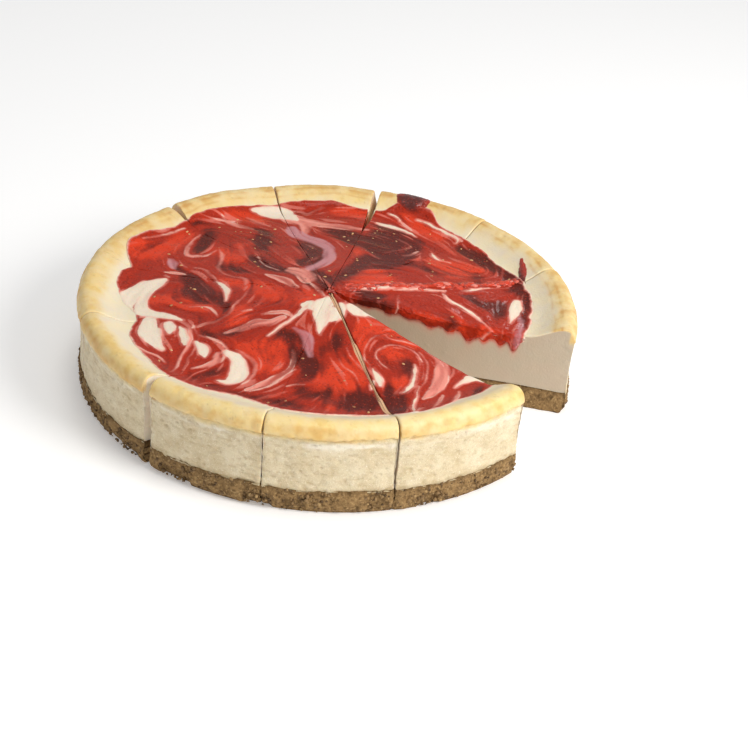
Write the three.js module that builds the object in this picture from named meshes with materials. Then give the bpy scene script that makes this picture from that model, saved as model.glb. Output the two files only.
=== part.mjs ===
// A round baked cheesecake, cut into twelve slices with one slice taken out.
// Each of the eleven slices is three solids: a crumb base, the baked filling and the strawberry swirl
// that lies in a shallow recess in the filling. Millimetres and degrees, +Z up. The origin is the
// middle of the underside, and +X runs through the middle of the gap that the missing slice left.
import * as THREE from "three";

// Overall sizes of the cake
const LIP_RADIUS = 125;
const CREST_RADIUS = 119.5;
const CREST_HEIGHT = 48;
const MOAT_RADIUS = 97;
const MOAT_HEIGHT = 40.5;
const CENTRE_HEIGHT = 47;
const BASE_HEIGHT = 12;

// The outer wall of the filling, from the lip down to the crumb base
const LIP_FOOT_HEIGHT = 40.6;
const LIP_FOOT_RADIUS = 124;
const WALL_RADIUS = 123.9;
const WALL_WAIST = 123.5;
const CORNER_ROUNDING = 0.7;

// The crumb base under it
const BASE_RADIUS = 123.4;
const BASE_FOOT_RADIUS = 121.8;
const CRUMB_OUT = 0.7;
const CRUMB_IN = 0.6;

// The strawberry swirl
const SWIRL_DEPTH = 2.4;
const SWIRL_RADIUS = 105.5;
const SWIRL_LIMIT = 117.3;

// The clearance between solids that touch, and the blunt tip of a slice
const FIT = 0.3;
const TIP_RADIUS = 1.8;

// Steps round and across one slice
const FILLING_COLUMNS = 8;
const BASE_COLUMNS = 9;
const SWIRL_STEPS = [0.17, 0.34, 0.5, 0.65, 0.79, 0.91, 1];

// The knife cuts, anticlockwise from the gap. Each has its bearing, its width inside the radius
// where it starts to open, and its width at the rim.
const CUTS = [
  { bearing: 14.5, width: 0.8, rimWidth: 0.8, opensAt: 110 },
  { bearing: 44.7, width: 0.8, rimWidth: 1.0, opensAt: 100 },
  { bearing: 74.0, width: 0.8, rimWidth: 1.0, opensAt: 100 },
  { bearing: 105.3, width: 0.9, rimWidth: 4.2, opensAt: 62 },
  { bearing: 133.0, width: 1.0, rimWidth: 1.6, opensAt: 70 },
  { bearing: 162.5, width: 0.8, rimWidth: 5.0, opensAt: 92 },
  { bearing: 193.8, width: 0.8, rimWidth: 1.0, opensAt: 100 },
  { bearing: 224.0, width: 0.8, rimWidth: 1.6, opensAt: 112 },
  { bearing: 256.2, width: 0.8, rimWidth: 4.8, opensAt: 100 },
  { bearing: 284.6, width: 0.8, rimWidth: 1.6, opensAt: 100 },
  { bearing: 313.2, width: 1.6, rimWidth: 1.8, opensAt: 100 },
  { bearing: 345.5, width: 0.8, rimWidth: 0.8, opensAt: 110 },
];

// How far each slice has slid outwards, and how much its top stands above the next
const SLIDES = [0.5, 0.0, 0.3, 0.0, 0.0, 0.2, 0.1, 0.2, 0.4, 0.3, 0.5];
const RISES = [0.2, 0.0, 0.3, -0.1, 0.2, -0.3, 0.1, 0.0, 0.3, 0.0, 0.3];

// Where the swirl runs further out or stays further in than its usual radius:
// the bearing, the reach, and the half width of each bulge in degrees
const BULGES = [
  { bearing: 96, reach: 10, spread: 6 },
  { bearing: 118, reach: 4.5, spread: 16 },
  { bearing: 152, reach: 6, spread: 20 },
  { bearing: 182, reach: 8.5, spread: 12 },
  { bearing: 221, reach: -9, spread: 9 },
  { bearing: 255, reach: 2, spread: 6 },
  { bearing: 274, reach: -3, spread: 16 },
  { bearing: 320, reach: 11, spread: 9 },
  { bearing: 338, reach: 4, spread: 7 },
  { bearing: 16, reach: -5, spread: 12 },
  { bearing: 66, reach: -2, spread: 8 },
];

const rad = THREE.MathUtils.degToRad;
const smooth = (t) => THREE.MathUtils.smoothstep(t, 0, 1);

// A repeatable number from -1 to 1 for each whole number
const scatter = (n) => {
  const s = Math.sin(n * 12.9898 + 4.1) * 43758.5453;
  return 2 * (s - Math.floor(s)) - 1;
};

// Radius of the swirl's edge at a bearing in radians
function swirlEdge(bearing) {
  let edge = SWIRL_RADIUS;
  for (const bulge of BULGES) {
    const apart = bearing - rad(bulge.bearing);
    const turn = Math.atan2(Math.sin(apart), Math.cos(apart));
    edge += bulge.reach * Math.exp(-((turn / rad(bulge.spread)) ** 2));
  }
  return Math.min(edge, SWIRL_LIMIT);
}

// Height of the cake's top, which is domed in the middle, dips to a moat and rises to the rim
function topHeight(r, bearing) {
  const x = r * Math.cos(bearing);
  const y = r * Math.sin(bearing);
  const dips = 0.45 * Math.sin(x / 17 + 0.6) * Math.cos(y / 21 - 0.4);
  const unevenness = dips + 0.3 * Math.sin((x + 1.6 * y) / 19 + 1.9);
  if (r < MOAT_RADIUS) {
    const dome = (1 + Math.cos((Math.PI * r) / MOAT_RADIUS)) / 2;
    return MOAT_HEIGHT + (CENTRE_HEIGHT - MOAT_HEIGHT) * dome + unevenness;
  }
  const climb = ((r - MOAT_RADIUS) / (CREST_RADIUS - MOAT_RADIUS)) ** 1.3;
  return MOAT_HEIGHT + (CREST_HEIGHT - MOAT_HEIGHT) * smooth(climb) + unevenness;
}

// Half the width of a cut at a radius
function halfCut(cut, r) {
  const open = smooth((r - cut.opensAt) / (LIP_RADIUS - cut.opensAt));
  return (cut.width + (cut.rimWidth - cut.width) * open) / 2;
}

// One slice: share runs from 0 at its clockwise face to 1 at its other face
class Slice {
  constructor(index) {
    this.from = CUTS[index];
    this.to = CUTS[index + 1];
    this.rise = RISES[index];
    this.middle = rad((this.from.bearing + this.to.bearing) / 2);
    this.slide = new THREE.Vector3(Math.cos(this.middle), Math.sin(this.middle), 0);
    this.slide.multiplyScalar(SLIDES[index]);
  }
  bearing(r, share, relief = 0) {
    const near = rad(this.from.bearing) + Math.asin((halfCut(this.from, r) + relief) / r);
    const far = rad(this.to.bearing) - Math.asin((halfCut(this.to, r) + relief) / r);
    return THREE.MathUtils.lerp(near, far, share);
  }
  point(r, share, z, relief = 0) {
    const a = this.bearing(r, share, relief);
    return new THREE.Vector3(r * Math.cos(a), r * Math.sin(a), z).add(this.slide);
  }
}

// A closed solid from two skins of one wedge. upper and lower give, for a column's share, a list of
// points from the tip of the slice outwards. Both lists end at the outer wall.
function wedgeGeometry(columns, upper, lower) {
  const positions = [];
  const known = new Map();
  const indices = [];
  const vertex = (p) => {
    const key = [p.x, p.y, p.z].map((c) => c.toFixed(4)).join(" ");
    if (!known.has(key)) {
      known.set(key, positions.length / 3);
      positions.push(p.x, p.y, p.z);
    }
    return known.get(key);
  };
  const face = (a, b, c) => {
    if (a !== b && b !== c && c !== a) indices.push(a, b, c);
  };
  const shares = Array.from({ length: columns + 1 }, (_, j) => j / columns);
  const top = shares.map((share) => upper(share).map(vertex));
  const under = shares.map((share) => lower(share).map(vertex));

  for (let j = 0; j < columns; j++) {
    for (let i = 0; i < top[j].length - 1; i++) {
      face(top[j][i], top[j][i + 1], top[j + 1][i + 1]);
      face(top[j][i], top[j + 1][i + 1], top[j + 1][i]);
    }
    for (let i = 0; i < under[j].length - 1; i++) {
      face(under[j][i], under[j + 1][i + 1], under[j][i + 1]);
      face(under[j][i], under[j + 1][i], under[j + 1][i + 1]);
    }
    const [a, b, c, d] = [under[j].at(-1), under[j + 1].at(-1), top[j + 1].at(-1), top[j].at(-1)];
    face(a, b, c);
    face(a, c, d);
  }

  // The two cut faces join the skins, step by step outwards
  const reach = (v) => Math.hypot(positions[3 * v], positions[3 * v + 1]);
  for (const [chain, floor, turned] of [
    [top[0], under[0], false],
    [top.at(-1), under.at(-1), true],
  ]) {
    const side = (a, b, c) => (turned ? face(a, c, b) : face(a, b, c));
    let u = 0;
    let w = 0;
    while (u < chain.length - 1 || w < floor.length - 1) {
      const next = chain[Math.min(u + 1, chain.length - 1)];
      const floorIsNearer = w < floor.length - 2 && reach(floor[w + 1]) < reach(next) + 0.01;
      if (u === chain.length - 1 || floorIsNearer) {
        side(floor[w], floor[w + 1], chain[u]);
        w++;
      } else {
        side(floor[w], chain[u + 1], chain[u]);
        u++;
      }
    }
  }
  const geometry = new THREE.BufferGeometry();
  geometry.setAttribute("position", new THREE.Float32BufferAttribute(positions, 3));
  geometry.setIndex(indices);
  geometry.computeVertexNormals();
  return geometry;
}

// The tip is one vertical edge on the slice's middle line
const tip = (slice, z) => slice.point(TIP_RADIUS, 0.5, z);

// The filling: the floor of the swirl's recess, the pale ring, the rim, its lip and the outer wall
function fillingGeometry(slice) {
  const upper = (share) => {
    const outline = slice.bearing(SWIRL_RADIUS, share);
    const edge = swirlEdge(outline);
    const height = (r) => topHeight(r, slice.bearing(r, share)) + slice.rise;
    const sunk = (r) => height(r) - SWIRL_DEPTH - FIT;
    const points = [tip(slice, topHeight(TIP_RADIUS, slice.middle) + slice.rise - SWIRL_DEPTH - FIT)];
    for (const step of SWIRL_STEPS) points.push(slice.point(edge * step, share, sunk(edge * step)));
    const recess = edge + FIT;
    points.push(slice.point(recess, share, sunk(edge)), slice.point(recess, share, height(recess)));
    const ring = THREE.MathUtils.lerp(recess, CREST_RADIUS, 0.55);
    points.push(slice.point(ring, share, height(ring)));
    const corner = share === 0 || share === 1 ? CORNER_ROUNDING : 0;
    const crest = height(CREST_RADIUS) - CREST_HEIGHT;
    const wobble = 0.35 * Math.sin(9 * outline + 1) + 0.25 * Math.sin(23 * outline);
    const profile = [
      [CREST_RADIUS, CREST_HEIGHT + crest],
      [122.9, 46.9 + crest],
      [124.6, 44.9 + crest],
      [LIP_RADIUS, 42.6 + crest / 2],
      [LIP_FOOT_RADIUS, LIP_FOOT_HEIGHT + 0.8 * wobble],
      [WALL_RADIUS, 33],
      [WALL_WAIST, 22],
      [WALL_RADIUS, BASE_HEIGHT + FIT],
    ];
    for (const [r, z] of profile) {
      const outward = r > CREST_RADIUS ? wobble - corner : -corner / 2;
      points.push(slice.point(r + outward, share, z - corner / 2));
    }
    points.at(-1).z = BASE_HEIGHT + FIT;
    return points;
  };
  const lower = (share) => {
    const points = [tip(slice, BASE_HEIGHT + FIT)];
    for (const step of [0.35, 0.7, 0.93]) {
      points.push(slice.point(WALL_RADIUS * step, share, BASE_HEIGHT + FIT));
    }
    points.push(upper(share).at(-1));
    return points;
  };
  return wedgeGeometry(FILLING_COLUMNS, upper, lower);
}

// The swirl: a thin layer that follows the top of the cake and fills the recess
function swirlGeometry(slice) {
  const skin = (depth) => (share) => {
    const edge = swirlEdge(slice.bearing(SWIRL_RADIUS, share));
    const points = [tip(slice, topHeight(TIP_RADIUS, slice.middle) + slice.rise - depth)];
    for (const step of SWIRL_STEPS) {
      const r = edge * step;
      points.push(slice.point(r, share, topHeight(r, slice.bearing(r, share)) + slice.rise - depth));
    }
    return points;
  };
  return wedgeGeometry(FILLING_COLUMNS, skin(0), skin(SWIRL_DEPTH));
}

// The crumb base: a flat slab whose wall and cut faces are rough
function baseGeometry(slice, index) {
  const rough = (column, row) => scatter(97 * index + 13 * column + row);
  const wall = (share) => {
    const column = Math.round(share * BASE_COLUMNS);
    const out = (row) => CRUMB_OUT * rough(column, row);
    return [
      [BASE_RADIUS - 0.4 + out(1), BASE_HEIGHT],
      [BASE_RADIUS + out(2), BASE_HEIGHT * 0.68],
      [BASE_RADIUS - 0.3 + out(3), BASE_HEIGHT * 0.3],
      [BASE_FOOT_RADIUS + out(4), 0],
    ];
  };
  const inward = (step, row) => CRUMB_IN * (0.5 + 0.5 * rough(31 + step, row));
  const steps = [0.22, 0.46, 0.68, 0.88];
  const flat = (z, row) => (share) => [
    tip(slice, z),
    ...steps.map((step, i) => slice.point(BASE_RADIUS * step, share, z, inward(i, row + share * 7))),
  ];
  const upper = (share) => {
    const side = wall(share).map(([r, z]) => slice.point(r, share, z));
    return [...flat(BASE_HEIGHT, 1)(share), ...side];
  };
  const lower = (share) => [...flat(0, 2)(share), upper(share).at(-1)];
  return wedgeGeometry(BASE_COLUMNS, upper, lower);
}

const fillingMaterial = new THREE.MeshStandardMaterial({ color: 0xead9b4, roughness: 0.6, metalness: 0 });
const swirlMaterial = new THREE.MeshStandardMaterial({ color: 0xb5241a, roughness: 0.2, metalness: 0 });
const baseMaterial = new THREE.MeshStandardMaterial({ color: 0x8a6a42, roughness: 0.95, metalness: 0 });

const cheesecake = new THREE.Group();
for (let index = 0; index < CUTS.length - 1; index++) {
  const slice = new Slice(index);
  const label = `slice_${String(index + 1).padStart(2, "0")}`;
  for (const [layer, geometry, material] of [
    ["base", baseGeometry(slice, index), baseMaterial],
    ["filling", fillingGeometry(slice), fillingMaterial],
    ["swirl", swirlGeometry(slice), swirlMaterial],
  ]) {
    const mesh = new THREE.Mesh(geometry, material);
    mesh.name = `${label}_${layer}`;
    cheesecake.add(mesh);
  }
}

// The gap makes the cake a little lopsided, so it is set with the middle of its outline on the origin
const outline = new THREE.Box3().setFromObject(cheesecake);
const offset = outline.getCenter(new THREE.Vector3()).negate();
cheesecake.position.set(offset.x, offset.y, -outline.min.z);

export default cheesecake;
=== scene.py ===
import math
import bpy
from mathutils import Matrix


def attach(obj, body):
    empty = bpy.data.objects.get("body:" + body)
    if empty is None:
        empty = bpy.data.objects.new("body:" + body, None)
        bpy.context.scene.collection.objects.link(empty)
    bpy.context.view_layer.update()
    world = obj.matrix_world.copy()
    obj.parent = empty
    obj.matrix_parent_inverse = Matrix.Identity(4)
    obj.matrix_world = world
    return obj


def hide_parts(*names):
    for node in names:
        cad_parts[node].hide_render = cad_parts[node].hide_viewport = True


bl_info = {
    "name": "Strawberry Swirl Cheesecake",
    "version": (1, 0, 0),
    "blender": (4, 5, 0),
    "location": "3D View > Sidebar > Cheesecake",
    "description": "Dresses the packed cheesecake with its baked filling, fruit swirl and crumb base",
    "category": "Object",
}

import bmesh
import bpy
import numpy as np
from mathutils import Matrix, Vector

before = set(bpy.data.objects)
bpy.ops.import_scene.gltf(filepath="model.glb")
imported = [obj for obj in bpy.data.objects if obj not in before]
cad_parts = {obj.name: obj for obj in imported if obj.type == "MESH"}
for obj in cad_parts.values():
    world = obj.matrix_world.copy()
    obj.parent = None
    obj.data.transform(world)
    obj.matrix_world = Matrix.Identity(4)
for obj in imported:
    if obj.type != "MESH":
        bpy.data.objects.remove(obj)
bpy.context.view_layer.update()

MM = 0.001

# Where the cake's own axis stands in the frame, in millimetres
AXIS = np.array((2.276, 0.080, 0.0))

# Overall sizes of the cake, in millimetres
LIP_RADIUS = 125.0
CREST_RADIUS = 119.5
CREST_HEIGHT = 48.0
MOAT_RADIUS = 97.0
MOAT_HEIGHT = 40.5
CENTRE_HEIGHT = 47.0
BASE_HEIGHT = 12.0
WALL_RADIUS = 123.9
WALL_WAIST = 123.5
BASE_RADIUS = 123.3
SWIRL_DEPTH = 2.4
SWIRL_RADIUS = 105.5
SWIRL_LIMIT = 117.3
FIT = 0.3
TIP_RADIUS = 1.8
TIP_PINCH = 2.0

# The knife cuts: bearing, width in the fruit, width in the filling, width at the rim, and the radius
# where it starts to open
CUTS = (
    (14.5, -0.3, 0.8, 0.8, 110.0),
    (44.7, 0.1, 0.5, 0.9, 104.0),
    (74.0, 0.0, 0.3, 0.6, 103.0),
    (105.3, 0.3, 0.4, 3.8, 70.0),
    (133.0, 0.4, 0.5, 1.3, 90.0),
    (162.5, 0.0, 0.3, 4.8, 103.0),
    (193.8, 0.0, 0.3, 0.6, 104.0),
    (224.0, 0.0, 0.3, 1.2, 112.0),
    (256.2, 0.0, 0.3, 4.6, 104.0),
    (284.6, 0.0, 0.2, 0.35, 104.0),
    (313.2, 2.2, -0.2, 0.6, 108.0),
    (345.5, -0.3, 0.8, 0.8, 110.0),
)

# How far each slice has slid out and how high it stands, in millimetres
SLIDES = (0.5, 0.0, 0.3, 0.0, 0.0, 0.2, 0.1, 0.2, 0.4, 0.3, 0.5)
RISES = (0.2, 0.0, 0.3, -0.1, 0.2, -0.3, 0.1, 0.0, 0.3, 0.0, 0.3)
SLICES = range(len(SLIDES))

# These cuts at the back are open at the lip only: further down they close to the width given. At the
# first of them the fruit stands back further than the filling
SHUT_BELOW = (3, 5)
SHUT_WIDTH = 0.5
FRUIT_BACKS_OFF = 2.2

# A cut's width in the fruit wavers by a share of itself, over a length in millimetres
WAVER_SHARE = 0.25
WAVER_LENGTH = 7.0

# Crushed jelly stands up along this cut, a little to one side of it
RIDGE_BEARING = CUTS[1][0]
RIDGE = math.radians(RIDGE_BEARING)
RIDGE_ASIDE = 1.7

# Where the swirl runs further out or stays further in: bearing, reach and spread
BULGES = (
    (58, -3.0, 8),
    (91, 9.5, 6.5),
    (98.5, 6.0, 2.6),
    (124, 4.0, 15),
    (150, 4.0, 12),
    (160, 2.5, 6),
    (181, 8.5, 11),
    (193.5, -3.5, 2.6),
    (202, 2.5, 6),
    (221, -8.0, 8),
    (255, 5.0, 9),
    (274, -4.0, 8),
    (288, 2.0, 6),
    (320, 11.0, 9),
    (338, 4.0, 7),
    (16, -5.0, 12),
)

# The marbling is drawn on a plan of the cake's top. The plan is 1400 units wide with the cake's axis
# in the middle, and its y runs towards the front. Every stroke is a row of (x, y, width) points.
PLAN_UNIT = 260.0 / 1400.0
PLAN_MIDDLE = 700.0

# The drop of fruit that lies on the rim
RIM_DROP = ((1060, 212, 15), (1074, 240, 19), (1088, 268, 18), (1101, 298, 17), (1112, 324, 17))

CREAM_STROKES = (
    ((262, 345, 18), (290, 330, 44), (320, 312, 62), (345, 305, 60), (365, 312, 40), (390, 320, 16)),
    ((395, 785, 6), (425, 800, 15), (450, 820, 18), (465, 845, 11), (478, 870, 4)),
    ((268, 845, 20), (258, 870, 44), (247, 900, 62), (245, 940, 74), (252, 985, 84), (285, 1010, 60),
     (330, 1020, 40), (380, 1010, 26), (430, 1012, 10)),
    ((200, 1040, 90), (250, 1060, 90), (290, 1090, 60)),
    ((350, 1050, 34), (370, 1080, 54), (395, 1110, 58), (425, 1135, 42), (455, 1152, 16)),
    ((405, 1045, 26), (420, 1060, 30), (432, 1080, 14)),
    ((440, 1045, 8), (462, 1062, 22), (485, 1085, 22), (500, 1110, 12)),
    ((520, 1085, 12), (545, 1100, 28), (560, 1115, 28), (572, 1130, 12)),
    ((612, 1090, 20), (635, 1092, 34), (660, 1110, 42), (680, 1140, 48), (690, 1172, 48), (680, 1198, 24),
     (655, 1208, 8)),
    ((722, 745, 34), (728, 780, 60), (745, 820, 52), (762, 860, 30), (775, 895, 6)),
    ((680, 800, 22), (688, 780, 18), (703, 800, 28)),
    ((688, 815, 16), (684, 850, 11), (676, 890, 8), (668, 930, 7), (665, 965, 4)),
    ((765, 752, 26), (775, 780, 38), (780, 808, 28), (775, 835, 8)),
    ((785, 740, 22), (815, 750, 46), (850, 744, 22), (888, 744, 8)),
    ((1044, 878, 4), (1056, 896, 8), (1067, 920, 6), (1076, 945, 8), (1083, 972, 12), (1082, 998, 8),
     (1078, 1010, 3)),
    ((968, 955, 4), (985, 970, 12), (1005, 990, 20), (1016, 1012, 11)),
    ((992, 1000, 5), (998, 1020, 9), (1004, 1036, 4)),
    ((1100, 962, 3), (1112, 1000, 5), (1126, 1040, 6), (1142, 1080, 6), (1158, 1112, 5)),
    ((1174, 905, 6), (1180, 870, 16), (1190, 845, 30), (1205, 832, 26), (1222, 840, 12)),
    ((1130, 405, 20), (1138, 430, 36), (1150, 462, 32), (1158, 498, 14), (1162, 525, 4)),
    ((596, 206, 8), (615, 204, 16), (640, 200, 17), (668, 198, 13), (700, 202, 9), (728, 212, 4)),
    ((602, 142, 5), (622, 142, 8), (640, 149, 6), (650, 160, 3)),
    ((686, 128, 4), (720, 131, 7), (760, 136, 9), (800, 146, 9), (828, 156, 8), (840, 170, 6), (841, 184, 3)),
    # A painted highlight: the white crescent of a glint on the red blob, drawn in cream
    ((812, 286, 4), (822, 294, 10), (836, 303, 10), (850, 309, 5)),
    ((958, 502, 4), (975, 517, 9), (1005, 528, 11), (1045, 537, 11), (1072, 550, 8), (1092, 564, 4)),
    ((768, 632, 4), (790, 618, 8), (812, 596, 10), (826, 576, 5)),
    ((872, 548, 4), (890, 526, 6), (915, 506, 5), (942, 486, 4)),
    ((984, 446, 4), (1000, 428, 7), (1022, 400, 5)),
    ((1150, 1135, 22), (1166, 1118, 22), (1172, 1150, 30)),
)

PINK_STROKES = (
    ((370, 318, 60), (420, 315, 52), (480, 302, 36), (540, 285, 28), (592, 262, 12)),
    ((425, 330, 40), (442, 360, 34), (452, 392, 20)),
    ((355, 275, 12), (375, 262, 15), (395, 268, 17), (402, 245, 11), (415, 225, 9), (424, 216, 5)),
    ((545, 640, 30), (585, 640, 60), (616, 668, 50)),
    ((500, 690, 8), (530, 694, 22), (570, 706, 26), (612, 722, 12)),
    ((200, 430, 6), (230, 442, 15), (270, 450, 20), (312, 440, 12)),
    ((265, 390, 12), (300, 400, 16), (342, 402, 9)),
    ((188, 462, 6), (215, 445, 13), (242, 430, 8)),
    ((152, 558, 4), (140, 600, 6), (125, 650, 7), (107, 702, 8)),
    ((207, 560, 5), (210, 610, 8), (222, 655, 13), (245, 688, 17), (272, 680, 15), (291, 655, 9),
     (299, 622, 5)),
    ((300, 612, 5), (325, 640, 12), (345, 680, 14), (358, 712, 12), (388, 735, 10), (430, 742, 8),
     (456, 736, 13), (471, 752, 11), (480, 772, 4)),
    ((300, 745, 8), (332, 742, 12), (370, 765, 12), (398, 787, 9)),
    ((245, 805, 6), (265, 800, 14), (285, 795, 14), (302, 789, 6)),
    ((255, 822, 10), (272, 824, 7)),
    ((318, 1050, 10), (345, 1025, 14), (385, 1008, 14), (430, 1015, 13), (470, 1040, 12), (497, 1075, 12),
     (512, 1115, 12), (520, 1160, 11), (532, 1200, 8), (540, 1240, 4)),
    ((470, 1020, 3), (510, 1060, 4), (530, 1105, 4), (540, 1160, 4), (556, 1210, 3)),
    ((388, 1045, 3), (395, 1075, 4), (407, 1092, 3)),
    ((508, 1052, 5), (545, 1055, 10), (580, 1060, 12), (605, 1075, 10), (613, 1100, 8), (619, 1132, 7)),
    ((596, 1104, 16), (608, 1135, 22), (596, 1168, 14), (575, 1195, 6)),
    ((625, 1065, 5), (655, 1070, 12), (690, 1085, 12), (712, 1110, 12), (722, 1150, 12), (718, 1192, 7)),
    ((500, 780, 5), (510, 830, 8), (512, 880, 8), (520, 920, 10), (510, 970, 10), (490, 1010, 13),
     (475, 1032, 8)),
    ((600, 890, 9), (620, 868, 13), (650, 855, 15), (676, 864, 10)),
    ((562, 1012, 12), (590, 970, 24), (612, 930, 38), (640, 912, 32), (655, 880, 20)),
    ((548, 902, 9), (562, 884, 8)),
    ((748, 985, 7), (765, 1010, 10), (780, 1045, 14), (785, 1085, 18), (775, 1130, 21), (760, 1170, 21),
     (743, 1207, 11)),
    ((1050, 796, 9), (1088, 815, 24), (1114, 850, 38), (1128, 890, 42), (1137, 930, 38), (1140, 968, 28),
     (1134, 1005, 12)),
    ((1030, 812, 4), (1062, 838, 5), (1086, 880, 6), (1100, 925, 5), (1106, 965, 4)),
    ((926, 790, 2), (908, 822, 3), (906, 873, 3), (930, 925, 3), (962, 955, 2)),
    ((752, 1209, 6), (783, 1163, 8), (788, 1108, 6), (798, 1060, 5)),
    ((868, 911, 3), (923, 958, 5), (969, 978, 6)),
    ((672, 770, 3), (712, 742, 4), (745, 752, 3)),
    ((995, 932, 2), (970, 924, 3), (950, 906, 3), (941, 880, 3), (946, 850, 4), (964, 828, 4), (995, 816, 5),
     (1030, 826, 5), (1056, 850, 3)),
    ((922, 800, 2), (945, 812, 3), (975, 796, 4), (1010, 788, 4)),
    ((1155, 1060, 14), (1165, 1090, 24), (1160, 1120, 26), (1152, 1145, 16)),
    ((1195, 920, 9), (1205, 960, 13), (1210, 1000, 9), (1220, 1032, 5)),
    ((1168, 960, 8), (1178, 1000, 12), (1180, 1040, 12), (1188, 1075, 8)),
    ((948, 498, 7), (975, 518, 14), (1010, 530, 18), (1050, 540, 18), (1080, 555, 12), (1110, 575, 8),
     (1142, 592, 5)),
    ((855, 560, 5), (870, 540, 14), (892, 520, 14), (920, 500, 12), (946, 481, 7)),
    ((770, 640, 9), (795, 620, 17), (815, 595, 19), (831, 572, 12)),
    ((838, 585, 5), (870, 556, 9), (905, 522, 8), (930, 494, 5)),
    ((1000, 420, 3), (1040, 380, 6), (1080, 340, 4)),
    ((858, 600, 3), (875, 630, 4), (890, 656, 3)),
    # A painted highlight: the glint's crescent on the red blob, drawn in pink
    ((812, 288, 6), (830, 300, 14), (852, 308, 12), (880, 304, 6)),
    ((470, 150, 5), (505, 128, 7), (540, 112, 7), (572, 104, 5)),
    ((690, 125, 5), (740, 132, 10), (790, 142, 12), (830, 155, 12), (852, 168, 7)),
    ((598, 140, 8), (630, 145, 13), (660, 165, 11), (700, 190, 8)),
    ((448, 182, 6), (475, 165, 10), (500, 148, 8), (520, 130, 4)),
    ((756, 350, 8), (768, 328, 10), (775, 300, 8)),
    ((640, 690, 10), (680, 715, 12), (700, 735, 8)),
    ((420, 605, 3), (470, 640, 4), (520, 655, 3)),
    ((410, 940, 4), (450, 925, 8), (480, 935, 10), (500, 950, 6)),
    ((865, 430, 3), (905, 452, 4), (940, 450, 3)),
    ((870, 960, 3), (900, 985, 4), (935, 1000, 5), (968, 1032, 3)),
    ((820, 1140, 4), (835, 1118, 7), (850, 1105, 4)),
    ((395, 1185, 8), (430, 1195, 14), (470, 1190, 12), (500, 1205, 8)),
)

LILAC_STROKES = (
    ((405, 375, 30), (430, 400, 44), (470, 415, 46), (520, 418, 42), (560, 440, 34), (585, 480, 30),
     (600, 520, 32), (598, 560, 34), (588, 602, 32)),
    ((218, 733, 12), (235, 752, 26), (252, 772, 14)),
    ((1158, 455, 6), (1180, 490, 13), (1195, 525, 15), (1205, 560, 17), (1225, 600, 19), (1250, 640, 16)),
    ((705, 905, 8), (740, 915, 20), (765, 935, 28), (780, 960, 24), (801, 986, 12)),
    ((235, 880, 8), (240, 905, 10), (246, 930, 8)),
)

DARK_STROKES = (
    ((650, 230, 90), (670, 280, 120), (680, 330, 120), (700, 370, 90), (720, 420, 70), (690, 460, 66),
     (690, 520, 50), (688, 580, 44), (680, 640, 34)),
    ((740, 240, 50), (760, 300, 50), (772, 360, 50), (758, 420, 56), (740, 470, 44)),
    ((870, 205, 40), (930, 228, 62), (1000, 258, 62), (1060, 290, 54), (1110, 335, 44), (1145, 390, 34),
     (1175, 450, 26), (1200, 520, 14)),
    ((975, 330, 34), (1005, 375, 36)),
    ((1010, 462, 28), (1060, 480, 32), (1095, 446, 36), (1120, 500, 30)),
    ((795, 318, 6), (806, 350, 8), (836, 380, 8), (880, 390, 8), (930, 378, 6)),
    ((780, 650, 54), (830, 668, 66), (872, 690, 36)),
    ((212, 518, 26), (235, 560, 42), (246, 600, 38), (250, 642, 20)),
    ((172, 486, 14), (162, 522, 16)),
    ((500, 465, 60), (540, 490, 70), (565, 540, 56), (552, 592, 46)),
    ((480, 330, 36), (540, 330, 66), (580, 330, 60), (600, 375, 36)),
    ((340, 440, 34), (370, 480, 44), (395, 540, 34)),
    ((420, 620, 50), (480, 640, 50), (545, 652, 24)),
    ((300, 785, 26), (330, 810, 48), (370, 832, 50), (420, 858, 48), (470, 885, 38), (508, 906, 16)),
    ((345, 860, 26), (390, 880, 38), (440, 902, 26)),
    ((355, 692, 22), (410, 700, 36), (450, 688, 16)),
    ((262, 765, 26), (282, 776, 18)),
    ((820, 880, 28), (828, 915, 38), (820, 955, 24)),
    ((760, 992, 28), (800, 1012, 60), (830, 1040, 48), (836, 1072, 26)),
    ((670, 936, 16), (706, 938, 32), (740, 940, 18)),
    ((598, 1225, 24), (640, 1236, 16), (700, 1234, 18), (760, 1230, 24), (820, 1217, 36), (880, 1205, 36)),
    ((645, 1160, 26), (625, 1190, 36)),
    ((1022, 880, 16), (1038, 905, 34), (1050, 932, 18)),
    ((1040, 1010, 26), (1065, 1040, 58), (1085, 1070, 70), (1100, 1100, 58), (1112, 1128, 26)),
    ((960, 1092, 34), (1000, 1092, 66), (1040, 1086, 46), (985, 1130, 44), (950, 1142, 34)),
    ((840, 1110, 24), (870, 1142, 36), (902, 1130, 34), (914, 1100, 24)),
    ((630, 26, 50), (636, 60, 60), (646, 84, 40)),
    ((1235, 880, 18), (1246, 930, 20), (1238, 985, 18), (1215, 1040, 16)),
    ((1012, 600, 4), (1080, 632, 26), (1110, 640, 26)),
    ((590, 990, 20), (560, 1030, 24), (520, 1040, 18)),
    ((960, 790, 3), (930, 815, 5), (925, 850, 4)),
    ((592, 594, 14), (636, 630, 42), (670, 658, 54), (684, 688, 36)),
    ((524, 630, 8), (572, 662, 14), (616, 686, 18), (646, 697, 14)),
)

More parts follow.
